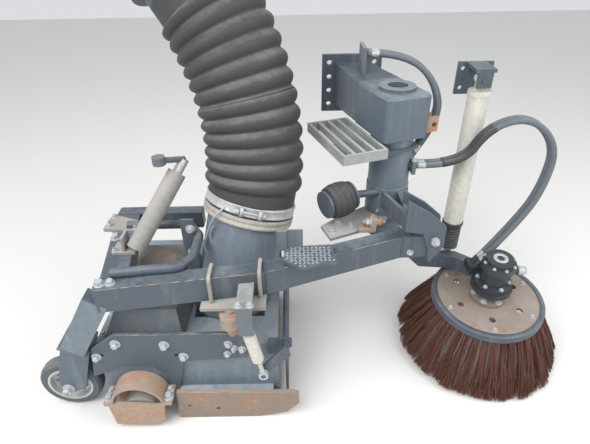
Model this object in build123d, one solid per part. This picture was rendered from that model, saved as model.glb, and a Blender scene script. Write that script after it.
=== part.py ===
from build123d import *
import math
import os

# Side sweeping unit of a suction street sweeper. Millimetres.
# X runs forward along the vehicle, Y inboard from the kerb side and Z up from the ground.
# Every node is written about the chassis flange, which is the written frame's origin.

# Overall sizes: from the support wheel's tread to the bristles' tips, and up to the collar
UNIT_BACK_X = -845.0
UNIT_LENGTH = 1821.0
UNIT_HEIGHT = 1376.5

# Chassis flange, in the stations above
FLANGE_X = 215.0
FLANGE_Y = 1700.0
FLANGE_Z = 862.0
FLANGE_WIDTH = 214.0
FLANGE_HEIGHT = 206.0
FLANGE_THICKNESS = 16.0
FLANGE_BOLT_SPAN = 162.0
FLANGE_BOLT_PITCH = 50.0
FLANGE_BOLT_ROWS = 4
FLANGE_BOLT_R = 9.0

# Swing column, its cast head and the beam that holds it
COLUMN_X = 312.0
COLUMN_Y = 1350.0
BEAM_ANGLE = 19.0
BEAM_WALL = 8.0
BEAM_WIDTH = 122.0
BEAM_HEIGHT = 150.0
HEAD_BOTTOM = 806.0
HEAD_HEIGHT = 134.0
HEAD_WIDTH = 150.0
HEAD_FRONT = 80.0
HEAD_BACK = 112.0
HEAD_FILLET = 16.0
RING_OD = 108.0
RING_HEIGHT = 12.0
COLUMN_OD = 132.0
COLUMN_BORE = 64.0
JOURNAL_OD = 112.0
JOURNAL_BOTTOM = 452.0
SLEEVE_OD = 138.0
SLEEVE_BOTTOM = 505.0
SLEEVE_TOP = 632.0
RUNNING_GAP = 0.1
END_PLATE = 12.0

# Cast step beside the head
STEP_TOP = 806.0
STEP_LENGTH = 286.0
STEP_WIDTH = 142.0
STEP_RIM = 30.0
STEP_WALL = 9.0
STEP_BARS = 3
STEP_BAR_WIDTH = 11.0
STEP_OFFSET = 5.0
STEP_BRACKET = 10.0

# Swing bracket on the sleeve and the lift pin
PIN_X = 430.0
PIN_Z = 532.0
PIN_R = 14.0
ARM_WIDTH = 50.0
ARM_HEIGHT = 80.0
ARM_WALL = 6.0
ARM_Z = 500.0
ARM_END_Y = 1176.0
CHEEK_GAP = 1.0
CHEEK = 12.0
WEB_GAP = 32.0

# Trailing frame
ARM_CORNER_X = -550.0
ARM_CORNER_Y = 950.0
ARM_BEND_X = -90.0
ARM_BEND_Y = 1015.0
ARM_KNEE_X = 330.0
ARM_END_X = 364.0
LEG_FOOT_X = -668.0
LEG_FOOT_Z = 300.0
REAR_Y = 1338.0
REAR_LEFT_X = -600.0
REAR_RIGHT_X = -318.0
REAR_HEIGHT = 60.0
REAR_DEPTH = 44.0
CROSS_WIDTH = 74.0
CROSS_HEIGHT = 60.0
FRAME_TOP = 540.0

# Support wheel
WHEEL_R = 100.0
WHEEL_X = UNIT_BACK_X + WHEEL_R
WHEEL_Y = 992.0
WHEEL_WIDTH = 48.0
WHEEL_RIM_R = 72.0
AXLE_R = 10.0
FORK_PLATE = 8.0
FORK_GAP = 6.0

# Suction nozzle
NOZZLE_LEFT = -612.0
NOZZLE_RIGHT = -58.0
NOZZLE_FRONT = 952.0
NOZZLE_BACK = 1500.0
NOZZLE_BOTTOM = 25.0
NOZZLE_TOP = 300.0
NOZZLE_WALL = 6.0
HOOD_TOP = 398.0
SIDE_PLATE = 10.0
SIDE_TOP = 352.0
SKID_THICKNESS = 12.0
SKID_HEIGHT = 128.0
SKID_LEFT = -388.0
SKID_RIGHT = 4.0

# Suction duct and hose
CLAMP_X = -144.0
CLAMP_Y = 1255.0
CLAMP_Z = 600.0
DUCT_R = 126.0
DUCT_WALL = 5.0
DUCT_NECK = 40.0
DUCT_FOOT_X = -216.0
DUCT_FOOT_Y = 1178.0
DUCT_FOOT_WIDTH = 246.0
DUCT_FOOT_DEPTH = 246.0
HOSE_ROOT_R = 137.0
HOSE_CREST_R = 152.0
HOSE_BORE_R = 128.0
HOSE_PITCH = 46.0
HOSE_CUFF = 70.0
COLLAR_X = -275.0
COLLAR_Y = 1425.0
COLLAR_LENGTH = 60.0
COLLAR_Z = UNIT_HEIGHT - COLLAR_LENGTH - 91.5

# Guide roller and its housing
ROLLER_X = -496.0
ROLLER_Z = 112.0
ROLLER_R = 56.0
ROLLER_WIDTH = 44.0
HOUSING_R = 84.0
HOUSING_WALL = 8.0
HOUSING_DEPTH = 66.0

# Front flap and its cylinder
FLAP_HINGE_X = -34.0
FLAP_HINGE_Z = 306.0
FLAP_SHAFT_R = 10.0
FLAP_THICKNESS = 8.0
FLAP_BOTTOM = 30.0
CYLINDER_TOP_X = -140.0
CYLINDER_TOP_Z = 425.0
CYLINDER_EYE_X = -102.0
CYLINDER_EYE_Z = 226.0
CYLINDER_R = 18.0
CYLINDER_ROD_R = 7.0
FLAP_EYE_SLACK = 1.3
FLAP_EYE_ALONG = 0.87
FLAP_EYE_ASIDE = -0.32

# Plate brush
BRUSH_Y = 1205.0
BRUSH_Z = 235.0
BRUSH_TILT = 6.0
DISC_R = 172.0
DISC_THICKNESS = 10.0
RIM_R = 188.0
RIM_HEIGHT = 26.0
HUB_R = 62.0
TUFTS = 40
TUFT_ROOT_R = 176.0
TUFT_TIP_R = 300.0
TUFT_HEIGHT = 188.0
BRUSH_X = UNIT_BACK_X + UNIT_LENGTH - TUFT_TIP_R
MOTOR_R = 50.0
MOTOR_HEIGHT = 120.0
CARRIER_UNDER = 58.0
CARRIER_R = 68.0
SHAFT_R = 14.0
CARRIER = 12.0

# Lift strut
STRUT_X = BRUSH_X - 106.0
STRUT_Y = 1376.0
STRUT_TOP = 958.0
STRUT_EYE_Z = 300.0
STRUT_R = 33.0
STRUT_NECK = 48.0
STRUT_BOTTOM = 440.0
ROD_R = 15.0
EYE_R = 20.0
EYE_PIN_R = 9.0
STRUT_EYE_SLACK = 1.7
STRUT_EYE_ALONG = -0.46
STRUT_EYE_ASIDE = 1.25

# Brush arm
BRUSH_PIVOT_X = 372.0
BRUSH_PIVOT_Z = 400.0
BRUSH_PIVOT_R = 12.5
BRUSH_ARM_Z = 300.0
BRUSH_ARM_HEIGHT = 50.0
BRUSH_ARM_WIDTH = 40.0

# Loose hydraulic hoses
HOSE_R = 10.0

# Longer than any piece, for cuts that go right through
THROUGH = 3000.0

ORIGIN = Pos(-FLANGE_X, -FLANGE_Y, -FLANGE_Z)
COLUMN_AXIS = Pos(COLUMN_X, COLUMN_Y, 0)
LOW = (Align.CENTER, Align.CENTER, Align.MIN)
nodes = {}


def across(start, end, up=(0, 0, 1)):
    """Plane at start that looks to end, with its own y axis as near to up as it can be."""
    normal = (Vector(*end) - Vector(*start)).normalized()
    side = Vector(*up).cross(normal)
    if side.length < 0.001:
        side = Vector(1, 0, 0)
    return Plane(origin=start, x_dir=side, z_dir=normal)


def run(start, end, section, up=(0, 0, 1)):
    """Straight member with a flat section from start to end."""
    return extrude(across(start, end, up) * section, amount=(Vector(*end) - Vector(*start)).length)


def rod(start, end, radius):
    return run(start, end, Circle(radius))


def box_tube(width, height, wall):
    return Rectangle(width, height) - Rectangle(width - 2 * wall, height - 2 * wall)


def face_plate(outline, y, thickness, holes=()):
    """Upright plate in the X-Z plane: its near face is at y, and holes are x, z, radius."""
    at_y = Plane(origin=(0, y, 0), x_dir=(1, 0, 0), z_dir=(0, -1, 0))
    sketch = make_face(Polyline(*outline, close=True))
    for x, z, radius in holes:
        sketch -= Pos(x, z) * Circle(radius)
    return extrude(at_y * sketch, amount=-thickness)


def bar_y(x, z, near, far, radius):
    """Round bar along Y."""
    return rod((x, near, z), (x, far, z), radius)


def bent(points, radius, section_r):
    """Round hose or tube on straight runs joined by arcs."""
    line = FilletPolyline(*points, radius=radius)
    return sweep(Plane(line @ 0, z_dir=line % 0) * Circle(section_r), path=line)


def roomy_radii(points):
    """Arc radius at each inner corner: 0.45 of the shorter run over the tangent of half the turn."""
    radii = []
    for before, here, after in zip(points, points[1:], points[2:]):
        a = Vector(*here) - Vector(*before)
        b = Vector(*after) - Vector(*here)
        half_turn = math.radians(a.get_angle(b)) / 2
        radii.append(0.45 * min(a.length, b.length) / math.tan(half_turn))
    return radii


def hose(points, section_r):
    """Loose hose: its arcs are as large as the runs allow."""
    radii = roomy_radii(points)
    print("   hose radii", [round(r) for r in radii])
    line = FilletPolyline(*points, radius=radii)
    return sweep(Plane(line @ 0, z_dir=line % 0) * Circle(section_r), path=line)


def turned(profile):
    """Solid turned about Z from radius, height pairs."""
    return revolve(Plane.XZ * make_face(Polyline(*profile, close=True)), axis=Axis.Z)


def add(name, shape):
    nodes[name] = shape


def chassis_flange():
    plate = Box(FLANGE_WIDTH, FLANGE_THICKNESS, FLANGE_HEIGHT, align=(Align.CENTER, Align.MAX, Align.CENTER))
    for row in range(FLANGE_BOLT_ROWS):
        height = (row - (FLANGE_BOLT_ROWS - 1) / 2) * FLANGE_BOLT_PITCH
        for side in (-0.5, 0.5):
            hole = Pos(side * FLANGE_BOLT_SPAN, 0, height) * Rot(90, 0, 0) * Cylinder(FLANGE_BOLT_R, 4 * FLANGE_THICKNESS)
            plate -= hole
    return Pos(FLANGE_X, FLANGE_Y, FLANGE_Z) * plate


def head_frame():
    """Location of the head: the column's axis, turned with the beam."""
    return COLUMN_AXIS * Rot(0, 0, BEAM_ANGLE)


def beam_ends(cut):
    """The beam's outline at the head and at the flange, drawn in by cut."""
    near = head_frame() * Pos(0, HEAD_BACK, HEAD_BOTTOM + HEAD_HEIGHT / 2)
    far = Pos(FLANGE_X, FLANGE_Y - FLANGE_THICKNESS, FLANGE_Z)
    upright = Rot(90, 0, 0)
    near_end = near * upright * Rectangle(HEAD_WIDTH - 2 - cut, HEAD_HEIGHT - 6 - cut)
    far_end = far * upright * Rectangle(BEAM_WIDTH - cut, BEAM_HEIGHT - cut)
    return [near_end, far_end]


def beam_envelope():
    return loft(beam_ends(0), ruled=True)


def main_beam():
    return beam_envelope() - loft(beam_ends(2 * BEAM_WALL), ruled=True)


def pivot_head():
    length = HEAD_FRONT + HEAD_BACK
    block = Pos(0, (HEAD_BACK - HEAD_FRONT) / 2, HEAD_BOTTOM) * Box(HEAD_WIDTH, length, HEAD_HEIGHT, align=LOW)
    front_edges = block.edges().filter_by(Axis.Z).sort_by(Axis.Y)[:2]
    block = fillet(front_edges, HEAD_FILLET)
    top = HEAD_BOTTOM + HEAD_HEIGHT
    block = chamfer(block.faces().sort_by(Axis.Y)[0].edges().sort_by(Axis.Z)[-1], 8)
    block += Pos(0, 0, top) * Cylinder(RING_OD / 2, RING_HEIGHT, align=LOW)
    block -= Pos(0, 0, HEAD_BOTTOM - 1) * Cylinder(COLUMN_BORE / 2, HEAD_HEIGHT + RING_HEIGHT + 2, align=LOW)
    return head_frame() * block


def column_tube():
    bore = COLUMN_BORE / 2
    profile = [
        (bore, HEAD_BOTTOM),
        (COLUMN_OD / 2, HEAD_BOTTOM),
        (COLUMN_OD / 2, SLEEVE_TOP + 1),
        (JOURNAL_OD / 2, SLEEVE_TOP + 1),
        (JOURNAL_OD / 2, JOURNAL_BOTTOM),
        (bore, JOURNAL_BOTTOM),
    ]
    return COLUMN_AXIS * turned(profile)


def step_frame():
    """Location of the step: beside the head, its near end level with the head's front."""
    side = -(HEAD_WIDTH + STEP_WIDTH) / 2 - STEP_OFFSET
    return head_frame() * Pos(side, 0, STEP_TOP)


def step_grating():
    centre = Pos(0, STEP_LENGTH / 2 - HEAD_FRONT - 36, -STEP_RIM / 2)
    rim = centre * Box(STEP_WIDTH, STEP_LENGTH, STEP_RIM)
    rim -= centre * Box(STEP_WIDTH - 2 * STEP_WALL, STEP_LENGTH - 2 * STEP_WALL, STEP_RIM + 2)
    pitch = (STEP_WIDTH - STEP_WALL) / (STEP_BARS + 1)
    for bar in range(STEP_BARS):
        across_x = (bar - (STEP_BARS - 1) / 2) * pitch
        rim += centre * Pos(across_x, 0, 4) * Box(STEP_BAR_WIDTH, STEP_LENGTH - STEP_WALL, STEP_RIM - 8)
    return step_frame() * rim


def step_bracket():
    """Bent plate under the step: it bolts to the column below the head."""
    under = STEP_TOP - STEP_RIM
    reach = (HEAD_WIDTH + STEP_WIDTH) / 2 + STEP_OFFSET
    outline = [
        (-reach - 52, -62),
        (-reach + 60, -78),
        (-20, -82),
        (60, -60),
        (60, 60),
        (-20, 70),
        (-reach - 40, 40),
    ]
    plate = extrude(make_face(Polyline(*outline, close=True)), amount=-STEP_BRACKET)
    plate -= Cylinder(COLUMN_OD / 2, 6 * STEP_BRACKET)
    return head_frame() * Pos(0, 0, under) * plate


def swing_lug():
    """Rusty ears on the head's right flank, where the swing cylinder pins."""
    block = Box(52, 54, 46)
    block -= Pos(8, 0, 0) * Box(60, 22, 60)
    block -= Rot(90, 0, 0) * Pos(12, 0, 0) * Cylinder(8, 80)
    return head_frame() * Pos(HEAD_WIDTH / 2 + 26, -24, HEAD_BOTTOM + 24) * block


def brush_clevis():
    """Plate and two ears under the column, with the pin that the brush arm turns on."""
    top = JOURNAL_BOTTOM
    clevis = COLUMN_AXIS * Pos(0, 0, top - END_PLATE) * Cylinder(JOURNAL_OD / 2 + 4, END_PLATE, align=LOW)
    ear = [
        (COLUMN_X - 20, top - END_PLATE / 2),
        (COLUMN_X - 20, BRUSH_PIVOT_Z - 4),
        (BRUSH_PIVOT_X - 12, BRUSH_PIVOT_Z - 30),
        (BRUSH_PIVOT_X + 24, BRUSH_PIVOT_Z - 24),
        (BRUSH_PIVOT_X + 26, BRUSH_PIVOT_Z + 14),
        (COLUMN_X + 44, top - END_PLATE / 2),
    ]
    half = BRUSH_ARM_WIDTH / 2 + CHEEK_GAP
    for near in (COLUMN_Y - half - CHEEK, COLUMN_Y + half):
        clevis += face_plate(ear, near, CHEEK)
    clevis += bar_y(BRUSH_PIVOT_X, BRUSH_PIVOT_Z, COLUMN_Y - half - CHEEK - 6, COLUMN_Y + half + CHEEK + 6, BRUSH_PIVOT_R - RUNNING_GAP / 2)
    return clevis


def swing_sleeve():
    bore = JOURNAL_OD / 2 + RUNNING_GAP / 2
    profile = [
        (bore, SLEEVE_TOP),
        (SLEEVE_OD / 2, SLEEVE_TOP),
        (SLEEVE_OD / 2, SLEEVE_BOTTOM + 16),
        (SLEEVE_OD / 2 - 8, SLEEVE_BOTTOM),
        (bore, SLEEVE_BOTTOM),
    ]
    return COLUMN_AXIS * turned(profile)


def cheek_outline():
    """C-shaped cheek: it reaches over the arm's end and down to the lift pin."""
    return [
        (COLUMN_X + 22, 672),
        (COLUMN_X + 92, 630),
        (PIN_X + 28, PIN_Z + 50),
        (PIN_X + 30, PIN_Z - 22),
        (PIN_X - 8, PIN_Z - 84),
        (PIN_X - 20, PIN_Z - 26),
        (PIN_X - 40, PIN_Z + 26),
        (COLUMN_X + 22, PIN_Z + 36),
    ]


def swing_bracket():
    """Two cheeks, the folded web that ties them to the sleeve, and the top strap."""
    half = ARM_WIDTH / 2 + CHEEK_GAP
    near = ARM_END_Y - half - CHEEK
    bracket = face_plate(cheek_outline(), near, CHEEK, [(PIN_X, PIN_Z, PIN_R)])
    bracket += face_plate(cheek_outline(), ARM_END_Y + half, CHEEK, [(PIN_X, PIN_Z, PIN_R)])
    web_bottom = ARM_Z + ARM_HEIGHT / 2 + WEB_GAP
    web_top = SLEEVE_TOP - 6
    web = [
        (COLUMN_X - 30, COLUMN_Y - SLEEVE_OD / 2 + 6),
        (COLUMN_X + 22, near),
        (COLUMN_X + 34, near),
        (COLUMN_X + 34, ARM_END_Y + half + CHEEK),
        (COLUMN_X + 62, COLUMN_Y - 40),
        (COLUMN_X + 20, COLUMN_Y - 60),
        (COLUMN_X + 22, near + 40),
        (COLUMN_X - 18, COLUMN_Y - SLEEVE_OD / 2 + 6),
    ]
    bracket += Pos(0, 0, web_bottom) * extrude(make_face(Polyline(*web, close=True)), amount=web_top - web_bottom)
    return bracket - COLUMN_AXIS * Cylinder(SLEEVE_OD / 2, THROUGH)


def lift_pin():
    half = ARM_WIDTH / 2 + CHEEK_GAP + CHEEK
    return bar_y(PIN_X, PIN_Z, ARM_END_Y - half - 8, ARM_END_Y + half + 8, PIN_R)


def base_plate():
    """Flat shelf from the sleeve's foot along the back of the arm."""
    outline = [
        (COLUMN_X + 10, COLUMN_Y - 40),
        (COLUMN_X - 20, 1240),
        (110, 1160),
        (84, 1232),
        (160, 1300),
        (COLUMN_X - 40, COLUMN_Y + 20),
    ]
    shelf = Pos(0, 0, SLEEVE_BOTTOM + 18) * extrude(make_face(Polyline(*outline, close=True)), amount=10)
    return shelf - COLUMN_AXIS * Cylinder(SLEEVE_OD / 2, THROUGH)


def stop_bracket():
    """Rusty ears and the adjusting screw that rests against the web."""
    z = SLEEVE_BOTTOM + 28
    block = Pos(248, 1208, z) * Box(14, 40, 44, align=LOW)
    block += Pos(222, 1208, z) * Box(40, 40, 10, align=LOW)
    block += rod((214, 1208, z + 28), (286, 1208, z + 28), 7)
    block += rod((262, 1208, z + 28), (272, 1208, z + 28), 13)
    return block


BUFFER_START = (100.0, 1218.0, 622.0)
BUFFER_END = (176.0, 1262.0, 628.0)


def air_buffer():
    """Ribbed rubber body between its two end plates."""
    start, end = Vector(*BUFFER_START), Vector(*BUFFER_END)
    length = (end - start).length
    ribs = 5
    profile = [(20, 0), (46, 0)]
    for rib in range(ribs):
        base = length * rib / ribs
        profile += [(56, base + length * 0.35 / ribs), (56, base + length * 0.65 / ribs), (52, base + length * 0.99 / ribs)]
    profile += [(46, length), (20, length)]
    return across(BUFFER_START, BUFFER_END).location * turned(profile)


def buffer_bracket():
    """End plates of the buffer, and the stud that carries the far one on the sleeve."""
    start, end = Vector(*BUFFER_START), Vector(*BUFFER_END)
    along = (end - start).normalized()
    near = rod(tuple(start - along * 8), tuple(start), 44)
    far = rod(tuple(end), tuple(end + along * 6), 46)
    far += rod(tuple(end + along * 4), (COLUMN_X - 20, COLUMN_Y - 40, SLEEVE_TOP - 20), 12)
    return near + (far - COLUMN_AXIS * Cylinder(SLEEVE_OD / 2, THROUGH))


ARM_LINE = [
    (ARM_CORNER_X, ARM_CORNER_Y, ARM_Z),
    (ARM_BEND_X, ARM_BEND_Y, ARM_Z),
    (ARM_KNEE_X, ARM_END_Y, ARM_Z),
    (ARM_END_X, ARM_END_Y, ARM_Z),
]


def arm_centre_y(x):
    """Station of the arm's centre line at x, left of its bend."""
    share = (x - ARM_CORNER_X) / (ARM_BEND_X - ARM_CORNER_X)
    return ARM_CORNER_Y + share * (ARM_BEND_Y - ARM_CORNER_Y)


def front_arm():
    """Two lengths of box tube with a mitred bend, and the knuckle's root."""
    section = box_tube(ARM_WIDTH, ARM_HEIGHT, ARM_WALL)
    line = Polyline(*ARM_LINE)
    return sweep(across(ARM_LINE[0], ARM_LINE[1]) * section, path=line, transition=Transition.RIGHT)


def arm_knuckle():
    """Tongue on the arm's end with the lift pin's bore."""
    outline = [
        (ARM_END_X, ARM_Z - ARM_HEIGHT / 2),
        (PIN_X - 24, ARM_Z - ARM_HEIGHT / 2 + 4),
        (PIN_X + 20, PIN_Z - 16),
        (PIN_X + 22, PIN_Z + 14),
        (PIN_X - 6, PIN_Z + 22),
        (PIN_X - 24, ARM_Z + ARM_HEIGHT / 2),
        (ARM_END_X, ARM_Z + ARM_HEIGHT / 2),
    ]
    bore = PIN_R + RUNNING_GAP / 2
    return face_plate(outline, ARM_END_Y - ARM_WIDTH / 2, ARM_WIDTH, [(PIN_X, PIN_Z, bore)])


def leg_line():
    """Top and foot of the leg, and its direction."""
    top = Vector(ARM_CORNER_X - 4, ARM_CORNER_Y, ARM_Z - ARM_HEIGHT / 2 + 30)
    foot = Vector(LEG_FOOT_X, ARM_CORNER_Y, LEG_FOOT_Z)
    return top, foot, (foot - top).normalized()


def arm_leg():
    """Leg from the arm's left corner down to the wheel's fork."""
    top, foot, along = leg_line()
    leg = run(tuple(top), tuple(foot), box_tube(ARM_WIDTH - 2, ARM_HEIGHT - 8, ARM_WALL), up=(1, 0, 0))
    return leg - arm_envelope()


def wheel_fork():
    """Crown plate on the leg's foot, with a cheek on each side of the wheel, and the axle."""
    top, foot, along = leg_line()
    half = WHEEL_WIDTH / 2 + FORK_GAP
    side = along.cross(Vector(0, 1, 0))
    near = ARM_CORNER_Y - ARM_WIDTH / 2
    far = WHEEL_Y + half + FORK_PLATE
    crown = []
    for reach, depth in ((-44, 0), (44, 0), (44, FORK_PLATE), (-44, FORK_PLATE)):
        corner = foot + side * reach + along * depth
        crown.append((corner.X, corner.Z))
    fork = face_plate(crown, near, far - near)
    cheek = [
        crown[3],
        crown[2],
        (WHEEL_X + 58, WHEEL_R + 6),
        (WHEEL_X + 8, WHEEL_R - 22),
        (WHEEL_X - 22, WHEEL_R - 12),
        (WHEEL_X - 24, WHEEL_R + 34),
    ]
    for y in (WHEEL_Y - half - FORK_PLATE, WHEEL_Y + half):
        fork += face_plate(cheek, y, FORK_PLATE)
    reach = half + FORK_PLATE + 8
    return fork + bar_y(WHEEL_X, WHEEL_R, WHEEL_Y - reach, WHEEL_Y + reach, AXLE_R)


def support_tyre():
    half = WHEEL_WIDTH / 2
    profile = [
        (WHEEL_RIM_R, -half),
        (WHEEL_R - 10, -half),
        (WHEEL_R - 2, -half + 8),
        (WHEEL_R, -half + 16),
        (WHEEL_R, half - 16),
        (WHEEL_R - 2, half - 8),
        (WHEEL_R - 10, half),
        (WHEEL_RIM_R, half),
    ]
    return Pos(WHEEL_X, WHEEL_Y, WHEEL_R) * Rot(90, 0, 0) * turned(profile)


def support_rim():
    half = WHEEL_WIDTH / 2
    rim = Cylinder(WHEEL_RIM_R, 2 * half) - Cylinder(WHEEL_RIM_R - 7, 2 * half + 2)
    rim += Cylinder(WHEEL_RIM_R - 6, 10)
    rim += Cylinder(24, 2 * half)
    for spoke in range(6):
        rim -= Rot(0, 0, spoke * 60) * Pos(45, 0, 0) * Cylinder(11, 2 * half)
    rim -= Cylinder(AXLE_R + RUNNING_GAP / 2, 4 * half)
    return Pos(WHEEL_X, WHEEL_Y, WHEEL_R) * Rot(90, 0, 0) * rim


def cross_tube():
    section = box_tube(CROSS_WIDTH, CROSS_HEIGHT, ARM_WALL)
    z = FRAME_TOP - CROSS_HEIGHT / 2
    start = (ARM_CORNER_X + 42, ARM_CORNER_Y + ARM_WIDTH / 2 + 12, z)
    end = (REAR_LEFT_X + CROSS_WIDTH / 2, REAR_Y - REAR_DEPTH / 2, z)
    return run(start, end, section) - arm_envelope() - rear_envelope()


def arm_envelope():
    """Outer form of the arm's left length."""
    return run(ARM_LINE[0], ARM_LINE[1], Rectangle(ARM_WIDTH, ARM_HEIGHT))


def rear_envelope():
    z = FRAME_TOP - REAR_HEIGHT / 2
    return run((REAR_LEFT_X, REAR_Y, z), (REAR_RIGHT_X, REAR_Y, z), Rectangle(REAR_DEPTH, REAR_HEIGHT))


def rear_member():
    """Box tube along the frame's back, welded to the tube that comes from the arm's corner."""
    z = FRAME_TOP - REAR_HEIGHT / 2
    back = run((REAR_LEFT_X, REAR_Y, z), (REAR_RIGHT_X, REAR_Y, z), box_tube(REAR_DEPTH, REAR_HEIGHT, ARM_WALL))
    return back + cross_tube()


def corner_plate():
    outline = [(-612, 1210), (-500, 1196), (-494, 1250), (-610, 1300)]
    return Pos(0, 0, FRAME_TOP) * extrude(make_face(Polyline(*outline, close=True)), amount=10) - guard_loop()


LOOP_R = 14.0


def guard_loop():
    """Round tube bent round the inspection cover, with the latch's upright plate."""
    z = FRAME_TOP + LOOP_R
    points = [
        (-512, 982, z),
        (-330, 1004, z),
        (-296, 1050, z),
        (-296, 1160, z),
        (-340, 1224, z),
        (-536, 1224, z),
    ]
    latch = Pos(-326, 1152, FRAME_TOP + 2 * LOOP_R - 146) * Box(40, 8, 196, align=LOW)
    return bent(points, 34, LOOP_R) + latch


def inspection_cover():
    profile = [(0, 0), (88, 0), (88, 14), (80, 22), (58, 34), (0, 40)]
    return Pos(-452, 1195, HOOD_TOP) * turned(profile)


CRANK_FOOT = (-476.0, 1100.0, 552.0)
CRANK_TOP = (-350.0, 1226.0, 738.0)
CRANK_TUBE_R = 28.0


def crank_tube():
    """Tube of the height adjuster, with the foot and ear that weld it to the cross member."""
    x, y = CRANK_FOOT[0] - 34, CRANK_FOOT[1] + 14
    foot = Pos(x, y, FRAME_TOP) * Box(70, 60, 8, align=LOW)
    foot += Pos(x + 1, y, FRAME_TOP) * Box(8, 50, 54, align=LOW)
    foot -= run(CRANK_FOOT, CRANK_TOP, Circle(CRANK_TUBE_R))
    return foot + run(CRANK_FOOT, CRANK_TOP, Circle(CRANK_TUBE_R) - Circle(CRANK_TUBE_R - 6))


def crank_handle():
    foot, top = Vector(*CRANK_FOOT), Vector(*CRANK_TOP)
    along = (top - foot).normalized()
    neck = top + along * 46
    handle = rod(tuple(top - along * 30), tuple(neck), 14)
    elbow = tuple(neck)
    tip = (neck.X - 60, neck.Y - 56, neck.Z + 22)
    handle += rod(elbow, tip, 9)
    handle += Pos(*tip) * Cylinder(19, 24)
    handle += rod(tuple(top - along * 30), tuple(top), 21.5)
    return handle


def checker_step():
    outline = [(-30, 1084), (104, 1092), (118, 1010), (12, 978), (-36, 1020)]
    tread = Pos(0, 0, FRAME_TOP + 12) * extrude(make_face(Polyline(*outline, close=True)), amount=8)
    skirt = Pos(30, 1040, FRAME_TOP) * Box(60, 20, 12.5, align=LOW)
    return tread + skirt


def nozzle_body():
    """Open-bottomed housing with an open front end for the flap, and the skid's angle."""
    length = NOZZLE_RIGHT - NOZZLE_LEFT
    depth = NOZZLE_BACK - NOZZLE_FRONT
    height = NOZZLE_TOP - NOZZLE_BOTTOM
    corner = Pos(NOZZLE_LEFT, NOZZLE_FRONT, NOZZLE_BOTTOM)
    inward = (Align.MIN, Align.MIN, Align.MIN)
    shell = corner * Box(length, depth, height, align=inward)
    inner = Pos(NOZZLE_LEFT + NOZZLE_WALL, NOZZLE_FRONT + NOZZLE_WALL, NOZZLE_BOTTOM - 1)
    shell -= inner * Box(length, depth - 2 * NOZZLE_WALL, height - NOZZLE_WALL + 1, align=inward)
    hole = Pos(DUCT_FOOT_X, DUCT_FOOT_Y, NOZZLE_TOP)
    shell -= hole * Box(DUCT_FOOT_WIDTH - 20, DUCT_FOOT_DEPTH - 20, 40)
    return shell + skid_rail()


def nozzle_hood():
    """Raised hood over the left half, with a flange round its foot."""
    foot = Pos(-466, 1165, NOZZLE_TOP)
    outer = loft([foot * Rectangle(246, 396), foot * Pos(14, 0, HOOD_TOP - NOZZLE_TOP) * Rectangle(184, 330)], ruled=True)
    inner = loft([foot * Rectangle(234, 384), foot * Pos(14, 0, HOOD_TOP - NOZZLE_TOP - 6) * Rectangle(172, 318)], ruled=True)
    return outer - inner


def side_plate():
    top = SIDE_TOP
    outline = [
        (-541, top),
        (-617, 300),
        (-640, 172),
        (-600, 190),
        (-548, 217),
        (-455, 219),
        (-420, 180),
        (-380, 104),
        (-348, 236),
        (-159, 248),
        (-146, 262),
        (-146, 330),
        (-170, top),
    ]
    holes = [(-592, 268, 6), (-366, 262, 7)]
    return face_plate(outline, NOZZLE_FRONT - SIDE_PLATE, SIDE_PLATE, holes)


def skid():
    """Wear plate along the ground with an upturned nose."""
    outline = [
        (SKID_LEFT, 0),
        (SKID_RIGHT - 130, 0),
        (SKID_RIGHT - 40, 22),
        (SKID_RIGHT, 66),
        (SKID_RIGHT, 112),
        (SKID_RIGHT - 20, 120),
        (SKID_LEFT + 6, SKID_HEIGHT),
    ]
    holes = [(SKID_LEFT + 40, 60, 6), (SKID_LEFT + 130, 44, 7)]
    return face_plate(outline, NOZZLE_FRONT - 30 - SKID_THICKNESS, SKID_THICKNESS, holes)


def skid_rail():
    """Angle on the nozzle's wall that carries the skid."""
    corner = Pos(SKID_LEFT + 10, NOZZLE_FRONT - 30, SKID_HEIGHT - 26)
    rail = corner * Box(300, 30, 8, align=(Align.MIN, Align.MIN, Align.MIN))
    return rail + corner * Pos(0, 0, -50) * Box(300, 8, 58, align=(Align.MIN, Align.MIN, Align.MIN))


def roller_housing():
    """Rusted arch over the guide roller, with two bolted lugs and a tray in front."""
    near = NOZZLE_FRONT - SIDE_PLATE - HOUSING_DEPTH
    centre = Pos(ROLLER_X, near, ROLLER_Z) * Rot(-90, 0, 0)
    arch = Cylinder(HOUSING_R, HOUSING_DEPTH, align=LOW) - Cylinder(HOUSING_R - HOUSING_WALL, 3 * HOUSING_DEPTH)
    arch -= Pos(0, 200, 0) * Box(400, 400, 400)
    housing = centre * arch
    for side in (-1, 1):
        lug = Pos(ROLLER_X + side * (HOUSING_R + 8), near + HOUSING_DEPTH / 2, ROLLER_Z) * Box(26, HOUSING_DEPTH, 14, align=LOW)
        housing += lug
    tray = [
        (ROLLER_X - 92, ROLLER_Z + 6),
        (ROLLER_X - 84, 22),
        (ROLLER_X + 40, 14),
        (ROLLER_X + 74, 40),
        (ROLLER_X + 82, ROLLER_Z + 6),
        (ROLLER_X + 56, ROLLER_Z + 2),
        (ROLLER_X - 60, ROLLER_Z + 14),
    ]
    housing += face_plate(tray, near, 8)
    back = near + HOUSING_DEPTH - 6
    rear = [(ROLLER_X - HOUSING_R, ROLLER_Z), (ROLLER_X - HOUSING_R, ROLLER_Z - 50), (ROLLER_X + HOUSING_R, ROLLER_Z - 50), (ROLLER_X + HOUSING_R, ROLLER_Z)]
    housing += face_plate(rear, back, 6)
    return housing + roller_axle()


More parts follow.
